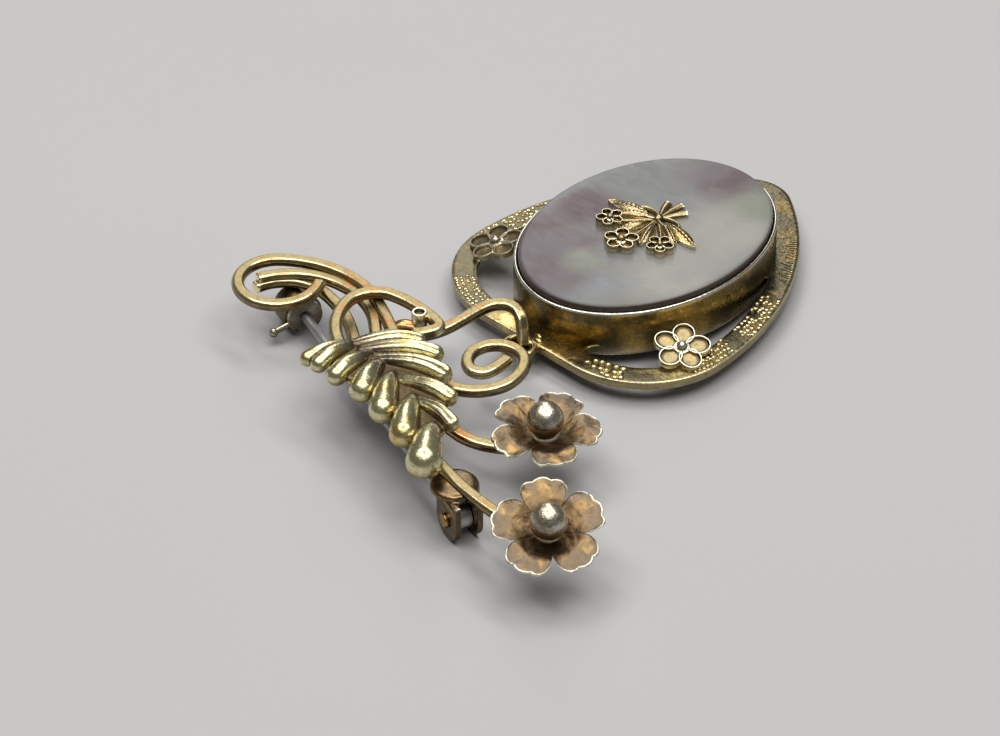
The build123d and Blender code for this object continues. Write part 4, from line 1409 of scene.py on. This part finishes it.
def case_profile():
    """Section of the case's wall with its lip and seat, as insets and heights."""
    seat_low = SEAT_Z - SEAT_THICKNESS
    return [
        (0.05, CASE_BOTTOM),
        (0.0, CASE_BOTTOM + 0.06),
        (0.0, BAND_TOP + 0.4),
        (0.0, 3.2),
        (0.0, 4.2),
        (0.0, 4.95),
        (0.0, CASE_TOP - 0.22),
        (0.04, CASE_TOP - 0.12),
        (0.12, CASE_TOP - 0.08),
        (0.20, CASE_TOP - 0.08),
        (0.28, CASE_TOP - 0.12),
        (LIP_WALL, CASE_TOP - 0.16),
        (LIP_WALL, SEAT_Z),
        (CASE_WALL + SEAT_REACH, SEAT_Z),
        (CASE_WALL + SEAT_REACH, seat_low),
        (CASE_WALL, seat_low),
        (CASE_WALL, CASE_BOTTOM + 0.06),
        (CASE_WALL - 0.05, CASE_BOTTOM),
    ]


def knuckle(y, arm_reach, arm_bottom, arm_top):
    """Tube of the cover's hinge, with the arm that it sits on."""
    half = KNUCKLE_LENGTH / 2
    tube = turned([
        (KNUCKLE_BORE, -half),
        (KNUCKLE_RADIUS - 0.05, -half),
        (KNUCKLE_RADIUS, -half + 0.05),
        (KNUCKLE_RADIUS, half - 0.05),
        (KNUCKLE_RADIUS - 0.05, half),
        (KNUCKLE_BORE, half),
    ], 40, closed=True)
    arm = rectangle(HINGE_X - arm_reach, HINGE_X, y - half, y + half, 0.25)
    return merged(
        moved(tube, axes((HINGE_X, y, HINGE_Z), (1, 0, 0), (0, 1, 0))),
        plate([arm], arm_bottom, arm_top, 0.05, 0.12),
    )


class BROOCH_OT_locket_case(Operator):
    """Makes the locket's oval case, its heart-shaped band, the two badges and the ring"""

    bl_idname = "brooch.locket_case"
    bl_label = "Locket case"

    def execute(self, context):
        band = plate([heart(), crescent(1), crescent(-1)], BAND_Z, BAND_TOP, 0.14, 0.35)
        marks = [mark for stretch in RELIEF for mark in pebbles(*stretch)]
        marks += [mark for stretch in HATCHED for mark in cuts(*stretch)]
        piece("heart_band", merged(band, *marks), "band_gilt", CASE_METAL, passes=0)
        piece("case_wall", skin(oval_loops(case_profile()), closed=True), "case_gilt", CASE_METAL)
        rim = [(0.16 + 0.15 * cos(t), CASE_TOP - 0.12 + 0.13 * sin(t)) for t in circle(14)]
        piece("case_rim", skin(oval_loops(rim), closed=True), "rim_silver", CASE_METAL)
        for side, name in ((1, "far_badge"), (-1, "near_badge")):
            petals, eye = badge(side)
            piece(name, petals, "badge_metal", CASE_METAL)
            piece(name + "_eye", eye, "bead_metal", CASE_METAL)
        path = [(*at(RING_RADIUS, 360 * k / 56, (0, RING_Y)), RING_Z) for k in range(56)]
        piece("ring", swept(path, round_section(RING_WIRE_RADIUS), closed=True), "wire_brass", CASE_METAL)
        flat = Matrix.Diagonal((1.3, 0.85, 0.7, 1))
        drops = [moved(ball(size, 12, 24), Matrix.Translation(place) @ flat) for place, size in SOLDER]
        piece("solder", merged(*drops), "solder_gold", CASE_METAL)
        step = KNUCKLE_LENGTH + KNUCKLE_GAP
        knuckles = [knuckle(y, 0.75, CASE_BOTTOM, CASE_BOTTOM + KNUCKLE_RADIUS) for y in (-step, step)]
        piece("case_knuckles", merged(*knuckles), "case_gilt", CASE_METAL)
        return {"FINISHED"}


# ---------------------------------------------------------------- shell and its ornament

def ornament_leaf(angle, start, length, width):
    """Pointed leaf with a sunk midrib and veined, lifted halves."""
    long = SPRAY_SIZE * length
    half_width = long * width / 2
    rows, columns = 26, 12
    curl = copysign(0.048, cos(radians(angle)))
    loops = []
    for row in range(rows + 1):
        s = row / rows
        half = max(0.03, half_width * (sin(pi * s ** 0.85)) ** 0.8)
        bend = curl * long * s * s
        top = []
        for column in range(columns + 1):
            u = 2 * column / columns - 1
            vein = 0.05 * cos((s * 9 - abs(u) * 2.0) * 2 * pi) * (1 - abs(u)) * (abs(u) > 0.1)
            swell = 0.30 * (1 - u * u) * sin(pi * min(1, s + 0.12))
            height = 0.34 + swell - 0.20 * max(0, 1 - abs(u) / 0.18) + vein
            top.append((s * long, u * half + bend, SPRAY_Z + max(0.12, height)))
        loops.append([(s * long, half + bend, SPRAY_Z), *top[::-1], (s * long, -half + bend, SPRAY_Z)])
    foot = at(SPRAY_SIZE * start, angle, SPRAY_TIE)
    return moved(skin(loops), Matrix.Translation((*foot, 0)) @ Matrix.Rotation(radians(angle), 4, "Z"))


def ornament_blossom(angle, distance, radius):
    """Small blossom of five round dished petals with a bead."""
    reach = SPRAY_SIZE * radius
    petal = moved(badge_petal(1.0, 0.9, 28), Matrix.Diagonal((reach * 0.44, reach * 0.44, 1.35, 1)))
    parts = five_round(petal, angle, reach * 0.56)
    parts.append(moved(ball(reach * 0.25, 12, 24), Matrix.Translation((0, 0, 0.62))))
    parts.append(turned([(0.05, 0), (reach * 0.4, 0), (reach * 0.4, 0.4), (reach * 0.3, 0.55), (0.05, 0.6)], 28))
    return moved(merged(*parts), Matrix.Translation((*at(SPRAY_SIZE * distance, angle, SPRAY_TIE), SPRAY_Z)))


def ornament_stem(angle, length):
    """Stem that narrows upwards, or a tail that widens downwards."""
    count = 16
    shares = [k / count for k in range(count + 1)]
    line = [at(SPRAY_SIZE * length * s, angle + 3 * sin(pi * s), SPRAY_TIE) for s in shares]
    widths = [0.20 + 0.20 * s if angle > 180 else 0.24 - 0.08 * s for s in shares]
    return half_round(line, widths, SPRAY_Z, [0.26] * len(line))


def ribbon():
    """Two loops of ribbon and a knot."""
    tie_x, tie_y = SPRAY_TIE
    turns = [2 * pi * k / 40 for k in range(41)]
    widths = [0.16 + 0.06 * sin(t / 2) for t in turns]
    parts = []
    for side in (1, -1):
        path = []
        for t in turns:
            along = 1.0925 * (1 - cos(t))
            across = 0.62 * sin(t) * (0.6 + 0.4 * abs(sin(t / 2)))
            path.append((tie_x + side * along, tie_y + across))
        parts.append(half_round(path, widths, SPRAY_Z, [0.38] * len(path)))
    place = Matrix.Translation((tie_x, tie_y, SPRAY_Z + 0.3)) @ Matrix.Diagonal((1, 1.15, 1, 1))
    return merged(*parts, moved(ball(0.42, 14, 28), place))


def shell_profile():
    """Half section of the shell, as insets and heights: flat below, with a rounded edge and a slight dome."""
    edge = LIP_WALL + FIT_GAP
    middle = 9.05
    dome = shapes().shell_dome / MM
    profile = [(9.0, SHELL_BOTTOM), (edge, SHELL_BOTTOM), (edge, SHELL_TOP - SHELL_EDGE)]
    for k in range(1, 9):
        u, v = at(SHELL_EDGE, 90 * k / 8)
        profile.append((edge + SHELL_EDGE - u, SHELL_TOP - SHELL_EDGE + v))
    for k in range(1, 11):
        s = k / 10
        inset = edge + SHELL_EDGE + s * (middle - edge - SHELL_EDGE)
        profile.append((inset, SHELL_TOP + dome * (1 - (1 - s) ** 2)))
    return profile


class BROOCH_OT_shell(Operator):
    """Polishes the shell face and models the gilt spray of leaves and blossoms on it"""

    bl_idname = "brooch.shell"
    bl_label = "Shell and spray"

    def execute(self, context):
        shell = skin(oval_loops(shell_profile()))
        piece("shell", shell, "mother_of_pearl", ("brooch", "shell_face", "shell"), sharp=60)
        parts = [ornament_stem(*row) for row in SPRAY_STEMS]
        parts += [ornament_leaf(*row) for row in SPRAY_LEAVES]
        parts += [ornament_blossom(*row) for row in SPRAY_BLOSSOMS]
        spray = merged(*parts, ribbon())
        piece("gilt_spray", spray, "ornament_gilt", ("brooch", "shell_spray", "gilt_brass"), sharp=55)
        return {"FINISHED"}


# ---------------------------------------------------------------- back cover

# Half section of the cover, from the middle of its outside round to the middle of its inside: share of the oval,
# inset, height
COVER_PROFILE = [
    (0.02, 0, 0),
    (COVER_FLAT_SHARE - 0.02, 0, 0),
    (COVER_FLAT_SHARE + 0.02, 0, 0.04),
    (0.80, 0, 0.30),
    (0.87, 0, 0.47),
    (COVER_MIDDLE_SHARE, 0, COVER_RISE / 2),
    (0.96, 0, 0.86),
    (1.0, COVER_EDGE_INSET + 0.03, COVER_RISE - 0.12),
    (1.0, COVER_EDGE_INSET, COVER_RISE - 0.05),
    (1.0, COVER_EDGE_INSET + 0.05, COVER_RISE),
    (1.0, COVER_EDGE_INSET + 2 * COVER_WALL, COVER_RISE),
    (COVER_FLAT_SHARE, COVER_WALL, COVER_WALL),
    (0.02, 0, COVER_WALL),
]


class BROOCH_OT_back_cover(Operator):
    """Makes the shallow cover of the locket's back, with its knuckle"""

    bl_idname = "brooch.back_cover"
    bl_label = "Back cover"

    def execute(self, context):
        cover = skin([[(x, y, z) for x, y in oval(inset, share)] for share, inset, z in COVER_PROFILE])
        hinge = knuckle(0, 0.95, COVER_RISE - KNUCKLE_RADIUS, COVER_RISE)
        piece("cover", merged(cover, hinge), "case_gilt", ("cover", "back_cover", "case_brass"))
        return {"FINISHED"}


# ---------------------------------------------------------------- stage

CAMERA_PLACE = (-0.1944, 0.2168, 0.2106)
CAMERA_AIM = (0.0008, 0.01678, 0.0)
CAMERA_LENS = 152.46
CAMERA_SENSOR = 36
FLOOR_REACH = 3.0
WORLD_COLOUR = (0.95, 0.97, 1.0, 1)
WORLD_STRENGTH = 0.16
# Softboxes: name, place and size in metres, power. The first four frame a dark middle overhead.
SOFTBOXES = [
    ("north_box", (0.0, 0.18, 0.42), (0.46, 0.12), 0.76),
    ("south_box", (0.0, -0.16, 0.42), (0.46, 0.12), 0.76),
    ("east_box", (0.17, 0.01, 0.42), (0.12, 0.20), 0.36),
    ("west_box", (-0.17, 0.01, 0.42), (0.12, 0.20), 0.36),
    ("far_box", (0.36, -0.34, 0.34), (0.16, 0.34), 0.5),
]


def aimed(name, data, place, aim):
    """A camera or light at a place, pointed at another."""
    thing = linked(name, data)
    thing.location = place
    thing.rotation_euler = (Vector(aim) - Vector(place)).to_track_quat("-Z", "Y").to_euler()
    return thing


def floor_paint():
    """Plain matt paint of the floor, very slightly uneven."""
    paint = Finish("floor_paint")
    tone = finishes().floor
    cloud = paint.span(paint.speckle(60.0, 2.0), 0.3, 0.7)
    colour = paint.blend(cloud, tone, [c * 0.985 for c in tone])
    paint.shown({"Base Color": colour, "Roughness": 0.7, "Specular IOR Level": 0.2})
    return paint.material


class BROOCH_OT_stage(Operator):
    """Lays the pale floor and sets the soft lights and the camera"""

    bl_idname = "brooch.stage"
    bl_label = "Stage"

    def execute(self, context):
        scene = context.scene
        mesh = bpy.data.meshes.new("floor")
        corners = [(x * FLOOR_REACH, y * FLOOR_REACH, 0) for x, y in ((-1, -1), (1, -1), (1, 1), (-1, 1))]
        mesh.from_pydata(corners, [], [(0, 1, 2, 3)])
        mesh.materials.append(floor_paint())
        ground = linked("floor", mesh)
        for name, place, size, power in SOFTBOXES:
            lamp = bpy.data.lights.new(name, "AREA")
            lamp.shape = "RECTANGLE"
            lamp.size, lamp.size_y = size
            lamp.energy = power
            aimed(name, lamp, place, (0, 0.01, 0))
        world = bpy.data.worlds.new("studio")
        world.use_nodes = True
        glow = world.node_tree.nodes["Background"]
        glow.inputs["Color"].default_value = WORLD_COLOUR
        glow.inputs["Strength"].default_value = WORLD_STRENGTH
        scene.world = world
        lens = bpy.data.cameras.new("camera")
        lens.lens = CAMERA_LENS
        lens.sensor_width = CAMERA_SENSOR
        lens.clip_start = 0.01
        scene.camera = aimed("camera", lens, CAMERA_PLACE, CAMERA_AIM)
        scene.view_settings.view_transform = "Standard"
        return {"FINISHED"}


# ---------------------------------------------------------------- panel

OPERATORS = [
    BROOCH_OT_wires,
    BROOCH_OT_leaf,
    BROOCH_OT_blossoms,
    BROOCH_OT_fittings,
    BROOCH_OT_locket_case,
    BROOCH_OT_shell,
    BROOCH_OT_back_cover,
    BROOCH_OT_stage,
]


class BROOCH_PT_panel(Panel):
    """Lists the pieces of the brooch with their sizes and colours"""

    bl_idname = "BROOCH_PT_panel"
    bl_label = "Locket brooch"
    bl_space_type = "VIEW_3D"
    bl_region_type = "UI"
    bl_category = "Brooch"

    def draw(self, context):
        """Shows the settings and a button for each group of pieces."""
        for settings in (context.scene.brooch_shapes, context.scene.brooch_finishes):
            box = self.layout.box()
            for name in settings.__annotations__:
                box.prop(settings, name)
        for operator in OPERATORS:
            self.layout.operator(operator.bl_idname)


CLASSES = [BroochShapes, BroochFinishes, *OPERATORS, BROOCH_PT_panel]


def register():
    """Makes the classes and their settings known to Blender."""
    for item in CLASSES:
        bpy.utils.register_class(item)
    bpy.types.Scene.brooch_shapes = PointerProperty(type=BroochShapes)
    bpy.types.Scene.brooch_finishes = PointerProperty(type=BroochFinishes)


def unregister():
    """Takes the classes and their settings away again."""
    del bpy.types.Scene.brooch_finishes
    del bpy.types.Scene.brooch_shapes
    for item in reversed(CLASSES):
        bpy.utils.unregister_class(item)


def main():
    """Makes every piece in order."""
    register()
    for operator in OPERATORS:
        group, name = operator.bl_idname.split(".")
        getattr(getattr(bpy.ops, group), name)()


if __name__ == "__main__":
    main()
